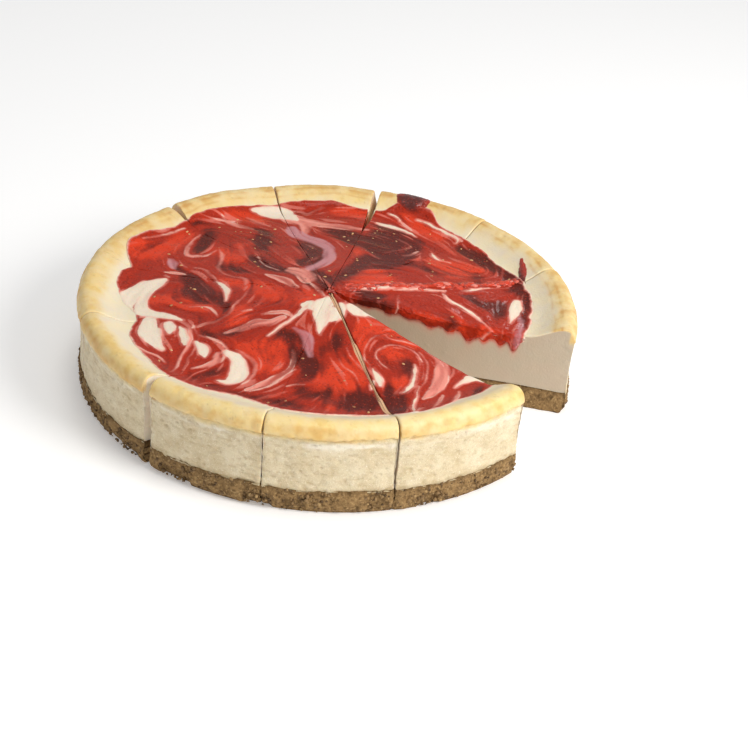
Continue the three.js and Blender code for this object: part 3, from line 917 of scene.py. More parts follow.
def make_filling(slice_, material):
    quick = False
    spacing = 1.5 if quick else 0.66
    bare = any(slice_.bare)
    reach = float(swirl_edge(np.array(slice_.middle)))
    inner_step = (3.0 if quick else 1.0) if bare else 6.0
    hidden = np.linspace(TIP_RADIUS, reach - 4.0, int((reach - 4.0) / inner_step))
    tuck = reach - np.array((2.6, 1.9, 1.2, 0.5, -0.2))
    ring = np.linspace(reach + 1.0, CREST_RADIUS, max(int((CREST_RADIUS - reach - 1.0) / spacing), 3))
    curve = rim_curve(9 if quick else 18)[1:]
    stations = np.concatenate((hidden, tuck, ring, curve[:, 0] + np.arange(len(curve)) * 0.02))
    start_curve = len(stations) - len(curve)
    fruit = Slice(slice_.index, fruit=True)

    def wobble(bearing):
        """How far the lip leans in or out."""
        around = slice_.place(LIP_RADIUS, bearing, np.zeros(np.shape(bearing)))
        return 0.45 * lumps(around, 14.0, 41, 2) + 0.16 * lumps(around, 3.2, 42, 2)

    def tear(bearing):
        """The ragged line where the lip stops."""
        around = slice_.place(LIP_RADIUS, bearing, np.zeros(np.shape(bearing)))
        return 1.1 * wobble(bearing + 1.0) + 0.8 * lumps(around, 2.6, 43, 2) + 0.45 * lumps(around, 1.2, 44)

    def bared(r, shares):
        """Where the fruit stands back from an open cut, so that the filling shows between."""
        shown = np.zeros(np.shape(shares))
        for side in (0, 1):
            strip = fruit.half_cut(side, r, 0.0) - slice_.half_cut(side, r, 0.0)
            arc = np.abs(shares - side) * (slice_.limits(r)[1] - slice_.limits(r)[0]) * r
            shown = np.maximum(shown, ease((strip - 0.1 - arc) / 0.3) * ease((strip - 0.1) / 0.3))
        return shown

    def top(i, shares):
        middle_r = stations[i]
        bearing = slice_.bearing(min(middle_r, CREST_RADIUS), shares)
        edge = ragged_edge(bearing)
        rounding = corner_drop(slice_, np.maximum(middle_r, TIP_RADIUS + 0.1), shares, 0.8)
        if i >= start_curve:
            r, z = curve[i - start_curve]
            fade = np.clip((z - 38.0) / 10.0, 0.0, 1.0)
            bend = wobble(bearing) * ease((r - CREST_RADIUS) / 2.0 if i < len(stations) - 4 else 1.0)
            r = r + bend - 0.6 * rounding
            z = z + unevenness(CREST_RADIUS, bearing) * fade + slice_.rise * fade - 0.5 * rounding * fade
            z = z + tear(bearing) * ease((45.0 - z) / 3.5)
            bearing = slice_.bearing(r, shares)
            return slice_.place(r, bearing, z)
        if middle_r <= reach + 0.21:
            r = TIP_RADIUS + (edge - TIP_RADIUS) * (middle_r - TIP_RADIUS) / (reach - TIP_RADIUS)
        else:
            r = edge + (CREST_RADIUS - edge) * (middle_r - reach) / (CREST_RADIUS - reach)
        r = np.minimum(r, CREST_RADIUS)
        sink = (SWIRL_DEPTH + FIT) * ease((edge - 0.3 - r) / 2.6)
        bearing = slice_.bearing(r, shares)
        sink = sink * (1.0 - 0.94 * bared(r, shares))
        z = top_height(r, bearing) + slice_.rise - sink - 0.5 * rounding * ease((r - edge + 2) / 3)
        return slice_.place(r, bearing, z)

    def under(i, shares):
        r = np.minimum(stations[i], WALL_RADIUS - 1.0) * np.ones(np.shape(shares))
        return slice_.place(r, slice_.bearing(r, shares, 1.0), np.full(np.shape(shares), BASE_HEIGHT + FIT))

    def wall(level, shares):
        bearing = slice_.bearing(WALL_RADIUS, shares)
        rounding = corner_drop(slice_, WALL_RADIUS, shares, 0.6)
        high = RIM_CURVE[-1][1] + tear(bearing)
        z = high + (BASE_HEIGHT - 0.5 - high) * level
        waist = WALL_WAIST + (WALL_RADIUS - WALL_WAIST) * (2.0 * level - 1.0) ** 2
        r = waist + 0.5 * wobble(bearing) - 0.35 * rounding
        return slice_.place(r, slice_.bearing(r, shares, shut(level)), z)

    levels = np.linspace(0.0, 1.0, 20 if quick else 48)
    coarse = lambda r: spacing if r > reach - 3.0 else 6.0
    points, region, faces = wedge(slice_, stations, top, under, wall, levels, spacing, 0.8, coarse)
    masks = filling_masks(slice_, points, region)
    normal = normals_of(points, faces)
    points = points + normal * filling_relief(points, region, masks)[:, None]
    points = crumble_cuts(slice_, points)
    return build_mesh(f"filling_{slice_.index + 1:02d}", points, faces, masks, material, sharp=50)


def filling_masks(slice_, points, region):
    """Where the filling is baked, bare, pitted or smeared with fruit, and where light and shade are painted
    on it.
    """
    r = np.hypot(points[:, 0] - slice_.slide[0], points[:, 1] - slice_.slide[1])
    bearing = np.arctan2(points[:, 1], points[:, 0])
    z = points[:, 2]
    top, wall = region == TOP, region == WALL
    face = (region == NEAR_FACE) | (region == FAR_FACE)
    broad = lumps(points, 16.0, 51, 2)
    patch = lumps(points, 6.0, 52, 2)
    small = lumps(points, 2.2, 53, 2)
    edge = ragged_edge(bearing)

    # The baked lip is yellow from the crest round to its foot. The lines and tan inside the rim at the back
    # are its own browning; the brown laid over the gold at the back of the cake and on its left is painted
    # shade.
    back = ease((np.sin(bearing) + 0.45) / 0.8)
    deep_back = ease((np.cos(bearing - math.radians(148)) - 0.1) / 0.5)
    onset = ease((r + 1.6 * broad + 1.4 * patch + 0.5 * small + 3.0 * back + 5.0 * deep_back - 113.0) / 7.5)
    gold = onset * (1.0 - wall) * (0.85 + 0.25 * patch)
    gold = gold + wall * 0.7 * ease((z - 37.6 + 1.3 * patch + 0.9 * small + 1.2 * broad) / 3.2)
    lines = sum(np.exp(-(((r - at - 1.3 * broad) / 0.6) ** 2)) for at in (113.4, 117.2))
    lines = lines * ease(0.65 + 0.8 * patch)
    tan = ease((r - 113.5 + 1.2 * patch) / 4.0) * ease(0.45 + 0.7 * patch + 0.4 * small)
    foot = ease((r - 122.9 + 0.9 * patch) / 1.8) * (0.2 + 0.4 * ease(0.3 + 0.8 * patch + 0.4 * small))
    brown_and_shade = top * back * (0.5 * lines + 0.55 * tan) + top * foot
    # Painted shade: brown laid over the gold on the cake's left, and a little at the back
    painted_shade_left = ease((np.cos(bearing - math.radians(205)) - 0.3) / 0.6)
    brown_and_shade = brown_and_shade + top * onset * (0.2 * painted_shade_left + 0.08 * back) * (0.8 + 0.4 * patch)
    spots = ease((small + patch - 0.75) / 0.4) * ease((r - 117.0) / 3.0)
    brown_and_shade = np.maximum(brown_and_shade, top * (0.2 + 0.25 * back) * spots)
    pocket = top * ease((edge - 1.8 - r) / 1.0)
    strip = unrolled(points)
    streaky = lumps(strip * (0.25, 1.4, 1.0), 3.0, 54, 2)
    pale = np.exp(-(((z - 36.8 - 1.2 * patch) / 2.0) ** 2)) * wall * ease(0.3 + 0.6 * broad + 0.9 * streaky)
    # Cracks under the lip: their brown is painted shade in the cracks, and the band just under the lip is
    # darkened as painted shade from its overhang
    crack_and_shade = np.exp(-(((z - 39.6 - 0.55 * broad - 0.9 * small) / 0.45) ** 2)) * wall
    crack_and_shade = crack_and_shade * ease(0.15 + 1.6 * streaky)
    crack_and_shade = np.maximum(crack_and_shade, 0.5 * wall * ease((z - 40.1) / 0.9) * ease(0.5 + 1.2 * streaky))
    # Darker towards the foot of the wall, just above the base
    low_darkening = wall * ease((14.6 + 1.3 * patch + 0.8 * small - z) / 2.6)

    # Fruit that the knife dragged down the faces, deepest in runs
    height = top_height(np.minimum(r, CREST_RADIUS), bearing) + slice_.rise
    down = height - z
    smear = np.full(len(points), -6.0)
    for side, here in ((0, region == NEAR_FACE), (1, region == FAR_FACE)):
        depth = 2.6 + 0.8 * lumps(np.stack((r, r * 0, r * 0), axis=1), 4.0, 62 + side, 2)
        if slice_.bare[side]:
            comb = lumps(np.stack((r, z * 0.12, r * 0), axis=1), 1.3, 64, 2)
            depth = SWIRL_DEPTH + FIT + hang(r, side) + 0.4 + 0.6 * comb
        depth = depth - 8.0 * ease((r - edge + 3.0) / 3.0)
        smear = np.where(here, np.clip(depth - down, -6.0, 3.0), smear)
    spill = stroke_depth(points[:, 0], points[:, 1], SPILL_STROKES) + 0.7 * patch + 0.6 * small
    below = np.clip((43.0 + 3.5 * patch - z) / 2.0, 0.0, 1.0) * ease((bearing - 1.1) / 0.1)
    smear = np.where(top | wall, np.clip(spill - 12.0 * below, -6.0, 3.0), smear)
    bare = face & any(slice_.bare)
    blush = np.where(face, np.exp(np.clip(smear, -6.0, 0.0) / 2.8) * (0.85 + 0.5 * patch), 0.0)
    blush = np.maximum(blush, 0.4 * pocket)
    skin = face * ease((r - 121.5 - 0.6 * patch) / 1.5) * ease((z - 39.0) / 3.0)
    skin = np.maximum(skin, face * ease((r - 108.0) / 6.0) * ease(1.0 - (height - z) / 1.3))
    wet = np.flatnonzero(smear > -1.5)
    marks = {key: np.zeros(len(points)) for key in ("dark", "bright", "streak", "vein")}
    for key, values in marbling(points[wet]).items():
        if key in marks:
            marks[key][wet] = values
    marks["dark"] = marks["dark"] * (1.0 - face)
    return {
        "gold": np.maximum(np.where(face, 0.0, np.clip(gold, 0, 1)), skin),
        "brown_and_shade": np.clip(np.maximum(brown_and_shade, 0.75 * pocket) + 0.45 * face * (1 - bare) * back, 0.0, 1.0),
        # On the faces of the closed cuts at the front, near the wall, pale is painted light: those faces lie
        # in shade and are lightened as if lit through
        "pale": np.maximum(0.75 * pale, 0.8 * face * (1 - bare) * (1 - back) * ease((r - 108.0) / 6.0)),
        "crack_and_shade": np.clip(crack_and_shade, 0.0, 1.0),
        "low_darkening": low_darkening,
        "smear": smear,
        "blush": blush,
        "wall": wall.astype(float),
        "face": bare.astype(float),
        **marks,
    }


def filling_relief(points, region, masks):
    """How far the surface stands out. Also notes where it lies deep, as a mask that paints shade into the
    pores and pricks.
    """
    wall = region == WALL
    face = (region == NEAR_FACE) | (region == FAR_FACE)
    top = region == TOP
    strip = unrolled(points)
    sponge = lumps(strip * (0.62, 1.25, 1.0), 1.5, 75, 2)
    sheet = lumps(strip * (0.16, 1.1, 1.0), 2.4, 76, 2)
    holes = pits(strip * (0.75, 1.2, 1.0), 2.2, 73, 0.32)
    holes = np.maximum(holes, 0.8 * pits(strip * (0.6, 1.3, 1.0), 4.2, 74, 0.14))
    deep = ease((-sponge - 0.05) / 0.55) * (0.6 + 0.4 * sheet)
    rough = 0.30 * lumps(points, 8.0, 71, 2) + 0.20 * sponge + 0.12 * sheet
    height = wall * (rough - 0.30 * deep - 0.55 * holes - 0.5 * masks["crack_and_shade"])
    sliced = 0.12 * lumps(points * (1, 1, 0.4), 5.0, 77, 2) - 0.25 * pits(points, 3.0, 78, 0.12)
    height = height + face * sliced
    height = height + face * 0.25 * ease(masks["smear"] / 1.2)
    skin = 0.14 * lumps(points, 5.0, 79, 3) + masks["gold"] * (0.20 * lumps(points, 2.6, 80, 3))
    height = height + top * (skin - 0.35 * pits(points, 6.0, 86, 0.08))
    runny = 0.6 + 0.6 * lumps(points, 3.6, 87, 2)
    height = height + (top | wall) * runny * ease(masks["smear"] / 1.8)
    pricks = top * masks["gold"] * pits(points, 1.8, 88, 0.2)
    # Painted shade: the deep spots, pores and pricks are darkened in colour by this mask
    masks["hollow_shade"] = wall * np.clip(0.75 * deep + holes, 0.0, 1.0) + pricks
    return height * (region != UNDER)


def crumble_cuts(slice_, points):
    """The outer ends of the two cuts, bitten into here and there by the knife."""
    flat = points[:, :2] - slice_.slide[:2]
    r, bearing = np.hypot(*flat.T), np.mod(np.arctan2(flat[:, 1], flat[:, 0]), math.tau)
    near, far = slice_.limits(r)
    strip = np.stack((points[:, 2], r * 0.3, r * 0.0), axis=1)
    for edge, inward, seed in ((near, 1.0, 2 * slice_.index), (far, -1.0, 2 * slice_.index + 1)):
        away = np.mod(bearing - edge + math.pi, math.tau) - math.pi
        bite = 0.55 * np.clip(lumps(strip, 2.4, 130 + seed, 2) + 0.1, 0.0, 1.0) * ease((r - 116.0) / 5.0)
        bite = bite * ease((46.0 - points[:, 2]) / 4.0) * np.exp(-((away * r / 1.3) ** 2)) * inward
        across = np.stack((-np.sin(edge), np.cos(edge), np.zeros(len(r))), axis=1)
        points = points + across * bite[:, None]
    return points


def base_profile(level):
    """Radius of the base's wall from its top edge (0) to the floor (1)."""
    return BASE_RADIUS + 0.8 + 0.5 * np.sin(np.pi * level) - 1.5 * ease((level - 0.6) / 0.4) ** 2


def make_base(slice_, material):
    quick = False
    spacing = 1.4 if quick else 0.7
    bare = any(slice_.bare)
    step = (2.0 if quick else 0.9) if bare else 5.0
    stations = np.linspace(TIP_RADIUS, BASE_RADIUS, int(BASE_RADIUS / step))

    def top(i, shares):
        r = np.full(np.shape(shares), stations[i])
        z = np.full(np.shape(shares), BASE_HEIGHT)
        if i == len(stations) - 1:
            r = r + 0.8 - 0.7 * corner_drop(slice_, r, shares, 0.8)
            rim = slice_.place(r, slice_.bearing(r, shares, 1.0), z)
            z = z + 0.35 + 0.9 * lumps(rim, 8.0, 81, 2) + 0.6 * lumps(rim, 2.3, 82, 2)
        return slice_.place(r, slice_.bearing(r, shares, 1.0), z)

    def under(i, shares):
        r = np.full(np.shape(shares), TIP_RADIUS + (stations[i] - TIP_RADIUS) * 0.955)
        return slice_.place(r, slice_.bearing(r, shares, 1.0), np.zeros(np.shape(shares)))

    def wall(level, shares):
        edge = top(len(stations) - 1, shares)
        r = base_profile(level) - 0.7 * corner_drop(slice_, BASE_RADIUS, shares, 1.4)
        broken = ease((lumps(edge * (1, 1, 0), 14.0, 90, 2) - 0.1) / 0.3) * ease((level - 0.35) / 0.3)
        r = r - 2.0 * broken
        return slice_.place(r, slice_.bearing(r, shares, 1.0), edge[:, 2] * (1 - level))

    levels = np.linspace(0.0, 1.0, 9 if quick else 20)
    coarse = lambda r: spacing if r > BASE_RADIUS - 1.0 else 8.0
    points, region, faces = wedge(slice_, stations, top, under, wall, levels, spacing, 1.0, coarse)
    normal = normals_of(points, faces)
    face = (region == NEAR_FACE) | (region == FAR_FACE)
    rough = 0.7 * lumps(points, 5.0, 81, 2) + 0.6 * lumps(points, 1.9, 82, 2)
    rough = rough - 0.9 * pits(points, 3.0, 83, 0.45)
    inset = 0.55 if bare else 0.25
    height = (region == WALL) * (rough + 0.8 * lumps(points, 15.0, 89)) + face * (inset * rough - 0.25) - 0.15
    height = height * (region != UNDER) * (region != TOP)
    still = np.clip(points[:, 2] / 0.8, 0.0, 1.0)
    points = points + normal * height[:, None] * (1, 1, 0) + normal * (height * still)[:, None] * (0, 0, 1)
    points[:, 2] = np.maximum(points[:, 2], 0.0)
    masks = {
        "tone": 0.5 + 0.5 * lumps(points, 2.0, 84, 2),
        # Painted shade: the low spots of the rough crumb are darkened through this mask
        "hollow_shade": np.clip(-0.8 * rough, 0.0, 1.0),
        # Darker towards the top of the base, where the filling sits on it
        "top_darkening": ease((points[:, 2] - 9.8 + 1.6 * lumps(points, 4.0, 85, 2)) / 2.5),
    }
    return build_mesh(f"base_{slice_.index + 1:02d}", points, faces, masks, material)


def unit_pebble(rng, detail=1, rough=0.25):
    """A small lumpy ball of radius 1: its points and its triangles."""
    shape = bmesh.new()
    bmesh.ops.create_icosphere(shape, subdivisions=detail, radius=1.0)
    points = np.array([v.co[:] for v in shape.verts])
    faces = np.array([[v.index for v in f.verts] for f in shape.faces])
    shape.free()
    points = points * (1.0 + rough * rng.uniform(-1, 1, (len(points), 1)))
    return points, faces


def turned(rng):
    """A random turn in space."""
    q = rng.normal(size=4)
    w, x, y, z = q / np.linalg.norm(q)
    return np.array((
        (1 - 2 * (y * y + z * z), 2 * (x * y - z * w), 2 * (x * z + y * w)),
        (2 * (x * y + z * w), 1 - 2 * (x * x + z * z), 2 * (y * z - x * w)),
        (2 * (x * z - y * w), 2 * (y * z + x * w), 1 - 2 * (x * x + y * y)),
    ))


class Scatter:
    """Many small bits joined into one piece."""

    def __init__(self):
        self.points = []
        self.faces = []
        self.tones = []
        self.count = 0

    def add(self, points, faces, tone):
        self.points.append(points)
        self.faces.append(faces + self.count)
        self.tones.append(np.full(len(points), tone))
        self.count += len(points)

    def build(self, name, material):
        points = np.concatenate(self.points)
        faces = np.concatenate(self.faces).tolist()
        return build_mesh(name, points, faces, {"tone": np.concatenate(self.tones)}, material)


def spun(angle):
    """A turn about the vertical."""
    c, s = math.cos(angle), math.sin(angle)
    return np.array(((c, -s, 0), (s, c, 0), (0, 0, 1))).T


# How many crumbs are on each slice's wall and on each face of the gap
WALL_CRUMBS = 210
FACE_CRUMBS = 420


def make_crumbs(material):
    """Biscuit crumbs that stand out of the base's wall and bare faces."""
    rng = np.random.default_rng(7)
    bits = Scatter()
    shapes = [unit_pebble(rng, 1, 0.28) for _ in range(12)]
    for index in SLICES:
        slice_ = Slice(index)
        for _ in range(WALL_CRUMBS):
            points, faces = shapes[rng.integers(len(shapes))]
            level = rng.uniform(0.02, 0.97)
            size = 0.35 + 0.75 * rng.random() ** 2.2
            r = float(base_profile(level)) - 0.1 - 0.25 * size
            share = rng.uniform(0.01, 0.99)
            z = max(BASE_HEIGHT * (1 - level), size * 0.75)
            spot = slice_.place(r, slice_.bearing(r, share), z)
            bit = points * size * rng.uniform(0.7, 1.15, 3) @ turned(rng).T
            bits.add(spot + bit, faces, rng.random())
    for index, share in ((0, 0.0), (len(SLIDES) - 1, 1.0)):
        slice_ = Slice(index)
        inward = 1.0 if share == 0.0 else -1.0
        for _ in range(FACE_CRUMBS):
            points, faces = shapes[rng.integers(len(shapes))]
            size = 0.3 + 0.7 * rng.random() ** 2.2
            r = rng.uniform(7.0, BASE_RADIUS - 1.0)
            z = rng.uniform(size * 0.75, BASE_HEIGHT - 0.4)
            bearing = float(slice_.bearing(r, share)) + inward * (0.45 * size) / r
            spot = slice_.place(r, bearing, z)
            bit = points * size * rng.uniform(0.7, 1.1, 3) @ turned(rng).T
            bits.add(spot + bit, faces, rng.random())
    for bit in bits.points:
        bit[:, 2] = np.maximum(bit[:, 2], 0.0)
    return bits.build("crumbs", material)


def swirl_surface(x, y):
    """Height of the swirl's surface at places on the cake's top."""
    r, bearing = np.hypot(x, y), np.arctan2(y, x)
    points = np.stack((x, y, np.zeros(len(x))), axis=1)
    z = top_height(r, bearing) + 0.3
    points[:, 2] = z
    return z + swirl_relief(points, marbling(points))


# A seed is a small ball drawn out to a drop along its first axis
SEED_RADII = (0.32, 0.32, 0.26)
SEED_STRETCH = 1.65
SEED_SIZES = (1.1, 2.1)
SEED_TRIES = 2600
SEED_REACH = 104.0


def make_seeds(material):
    """Fruit seeds, mostly in the dark parts of the swirl."""
    rng = np.random.default_rng(19)
    r = SEED_REACH * np.sqrt(rng.random(SEED_TRIES))
    bearing = rng.uniform(math.radians(17), math.radians(343), SEED_TRIES)
    x, y = r * np.cos(bearing), r * np.sin(bearing)
    flat = np.stack((x, y, np.zeros(SEED_TRIES)), axis=1)
    masks = marbling(flat)
    crowd = ease(lumps(flat, 16.0, 23, 2) + 0.35)
    red = (masks["cream"] < -0.8) & (masks["pink"] < -0.3) & (masks["lilac"] < -0.3)
    back = 0.25 + 0.75 * ease((y + 10.0) / 50.0)
    chance = (0.05 + 0.95 * masks["dark"] * crowd + 0.06 * masks["bright"]) * red * back
    keep = (rng.random(SEED_TRIES) < chance * 0.6) & (r < ragged_edge(bearing) - 2.0)
    apart = [abs(math.remainder(b - math.radians(c[0]), math.tau)) for b in bearing for c in CUTS]
    keep &= np.array(apart).reshape(SEED_TRIES, len(CUTS)).min(axis=1) * r > 1.6
    x, y = x[keep], y[keep]
    z = swirl_surface(x, y)
    bits = Scatter()
    ball, faces = unit_pebble(rng, 2, 0.0)
    tear = ball * SEED_RADII * (1.0 + 0.25 * ball[:, :1])
    tear[:, 0] *= SEED_STRETCH
    for k in range(len(x)):
        shape = tear @ spun(rng.uniform(0, math.tau)) * rng.uniform(*SEED_SIZES)
        bits.add(shape + (x[k], y[k], z[k] + 0.02), faces, rng.random())
    return bits.build("seeds", material)


# Smallest and largest length, width and height of a bead, as shares of its size
BEAD_SHAPES = ((0.9, 0.7, 0.35), (2.0, 1.1, 0.6))


def make_beads(material):
    """Jelly that the knife pushed up in beads along one cut and at the middle."""
    rng = np.random.default_rng(31)
    bits = Scatter()
    shapes = [unit_pebble(rng, 2, 0.14) for _ in range(12)]
    spots = []

    def string(bearing, start, end, gap, low, high, spread, aside=0.0):
        """Beads along a cut from start to end, a gap apart, with sizes from low to high."""
        r = start
        angle = math.radians(bearing)
        while r < end:
            across = aside + rng.normal(0.0, spread)
            x = r * math.cos(angle) - across * math.sin(angle)
            y = r * math.sin(angle) + across * math.cos(angle)
            spots.append((x, y, angle, rng.uniform(low, high)))
            r += gap * rng.uniform(0.5, 1.4)

    string(RIDGE_BEARING, 8.0, 104.0, 0.55, 0.7, 2.0, 1.3, aside=2.0)
    for _ in range(9):
        string(rng.uniform(0, 360), rng.uniform(0.0, 2.2), 2.3, 9.0, 0.8, 1.4, 0.2)
    x, y, angles, sizes = np.array(spots).T
    heights = swirl_surface(x, y)
    for k, size in enumerate(sizes):
        points, faces = shapes[rng.integers(len(shapes))]
        bit = points * size * rng.uniform(*BEAD_SHAPES) @ spun(angles[k] + rng.normal(0.0, 0.45))
        bits.add(bit + (x[k], y[k], heights[k] - 0.2 * size), faces, rng.random())
    return bits.build("beads", material)


# Materials


def linear(colour):
    """A colour given as 0-255 values, made linear for the shaders."""
    out = []
    for value in colour:
        c = value / 255.0
        out.append(c / 12.92 if c <= 0.04045 else ((c + 0.055) / 1.055) ** 2.4)
    return (*out, 1.0)


class Wiring:
    """Short ways to add and join nodes."""

    def __init__(self, tree):
        self.nodes = tree.nodes
        self.links = tree.links

    def add(self, kind, inputs=(), **settings):
        node = self.nodes.new(kind)
        for key, value in settings.items():
            setattr(node, key, value)
        for key, value in dict(inputs).items():
            self.put(node.inputs[key], value)
        return node

    def put(self, socket, value):
        if isinstance(value, bpy.types.NodeSocket):
            self.links.new(value, socket)
        else:
            socket.default_value = value

    def mask(self, name):
        return self.add("ShaderNodeAttribute", attribute_name=name).outputs["Fac"]

    def math(self, operation, a, b=0.0, clamp=False):
        node = self.add("ShaderNodeMath", operation=operation, use_clamp=clamp)
        self.put(node.inputs[0], a)
        self.put(node.inputs[1], b)
        return node.outputs[0]

    def ramp(self, value, low, high, out_low=0.0, out_high=1.0):
        node = self.add("ShaderNodeMapRange", interpolation_type="SMOOTHSTEP")
        for key, item in zip(("Value", "From Min", "From Max", "To Min", "To Max"),
                             (value, low, high, out_low, out_high)):
            self.put(node.inputs[key], item)
        return node.outputs["Result"]

    def mix(self, share, a, b):
        node = self.add("ShaderNodeMix", data_type="RGBA")
        self.put(node.inputs["Factor"], share)
        for socket, value in ((6, a), (7, b)):
            self.put(node.inputs[socket], value)
        return node.outputs[2]

    def noise(self, scale, detail=3.0, rough=0.55):
        inputs = {"Scale": scale, "Detail": detail, "Roughness": rough, "Vector": self.place()}
        return self.add("ShaderNodeTexNoise", inputs).outputs["Fac"]

    def place(self):
        return self.add("ShaderNodeNewGeometry").outputs["Position"]


def new_group(name, inputs, outputs):
    tree = bpy.data.node_groups.new(name, "ShaderNodeTree")
    for label, kind, default in inputs:
        socket = tree.interface.new_socket(label, in_out="INPUT", socket_type=kind)
        socket.default_value = default
    for label, kind in outputs:
        tree.interface.new_socket(label, in_out="OUTPUT", socket_type=kind)
    wires = Wiring(tree)
    entry = tree.nodes.new("NodeGroupInput")
    leave = tree.nodes.new("NodeGroupOutput")
    return tree, wires, entry.outputs, leave.inputs


FLOAT, COLOUR = "NodeSocketFloat", "NodeSocketColor"
GLAZE_MASKS = ("Dark", "Bright", "Streak", "Vein")


def glaze_group(colours):
    """Colour of the fruit glaze: deep red that turns bright, dark or streaky."""
    inputs = [(label, FLOAT, 0.0) for label in GLAZE_MASKS]
    inputs += [("Red", COLOUR, colours.red), ("Bright Red", COLOUR, colours.bright)]
    inputs += [("Dark Red", COLOUR, colours.dark)]
    tree, w, given, out = new_group("Fruit Glaze", inputs, [("Color", COLOUR), ("Height", FLOAT)])
    cloud = w.noise(260.0, 4.0, 0.6)
    fine = w.noise(900.0, 3.0, 0.6)
    sway = w.math("ADD", w.math("MULTIPLY", given["Streak"], 0.07), w.math("MULTIPLY", given["Vein"], 0.07))
    sway = w.math("ADD", sway, w.math("MULTIPLY", w.math("SUBTRACT", cloud, 0.5), 0.5))
    bright = w.math("ADD", given["Bright"], sway, clamp=True)
    dark = w.math("SUBTRACT", given["Dark"], sway, clamp=True)
    colour = w.mix(w.ramp(bright, 0.1, 0.95), given["Red"], given["Bright Red"])
    colour = w.mix(w.ramp(dark, 0.05, 0.95), colour, given["Dark Red"])
    colour = w.mix(w.ramp(fine, 0.44, 0.32, 0.0, 0.5), colour, given["Dark Red"])
    colour = w.mix(w.ramp(fine, 0.57, 0.70, 0.0, 0.45), colour, given["Bright Red"])
    w.put(out["Color"], colour)
    w.put(out["Height"], w.math("ADD", cloud, w.math("MULTIPLY", fine, 0.4)))
    return tree


def mottle_group():
    """Soft patches and fine grain that baked food shows."""
    tree, w, given, out = new_group(
        "Baked Mottle", [("Patch Scale", FLOAT, 90.0), ("Grain Scale", FLOAT, 700.0)],
        [("Patches", FLOAT), ("Grain", FLOAT), ("Pores", FLOAT)])
    w.put(out["Patches"], w.noise(given["Patch Scale"], 4.0, 0.55))
    w.put(out["Grain"], w.noise(given["Grain Scale"], 3.0, 0.6))
    cells = w.add("ShaderNodeTexVoronoi", {"Scale": given["Grain Scale"], "Vector": w.place()})
    w.put(out["Pores"], w.ramp(cells.outputs["Distance"], 0.12, 0.34, 1.0, 0.0))
    return tree


def new_material(name):
    material = bpy.data.materials.new(name)
    material.use_nodes = True
    material.node_tree.nodes.clear()
    w = Wiring(material.node_tree)
    shader = w.add("ShaderNodeBsdfPrincipled")
    output = w.add("ShaderNodeOutputMaterial")
    w.links.new(shader.outputs[0], output.inputs["Surface"])
    return material, w, shader.inputs


def place_group(w, tree, inputs=()):
    """Adds a node group with these inputs and gives its outputs."""
    node = w.add("ShaderNodeGroup", node_tree=tree)
    for key, value in dict(inputs).items():
        w.put(node.inputs[key], value)
    return node.outputs


def marbled_glaze(w, glaze):
    """The fruit glaze as the marbling's masks drive it."""
    return place_group(w, glaze, {label: w.mask(label.lower()) for label in GLAZE_MASKS})


def roughen(w, shader, strength, distance, height):
    """Turns fine heights into a bump on the shader's normal. The distance is in metres."""
    bump = w.add("ShaderNodeBump", {"Strength": strength, "Distance": distance, "Height": height})
    w.put(shader["Normal"], bump.outputs[0])


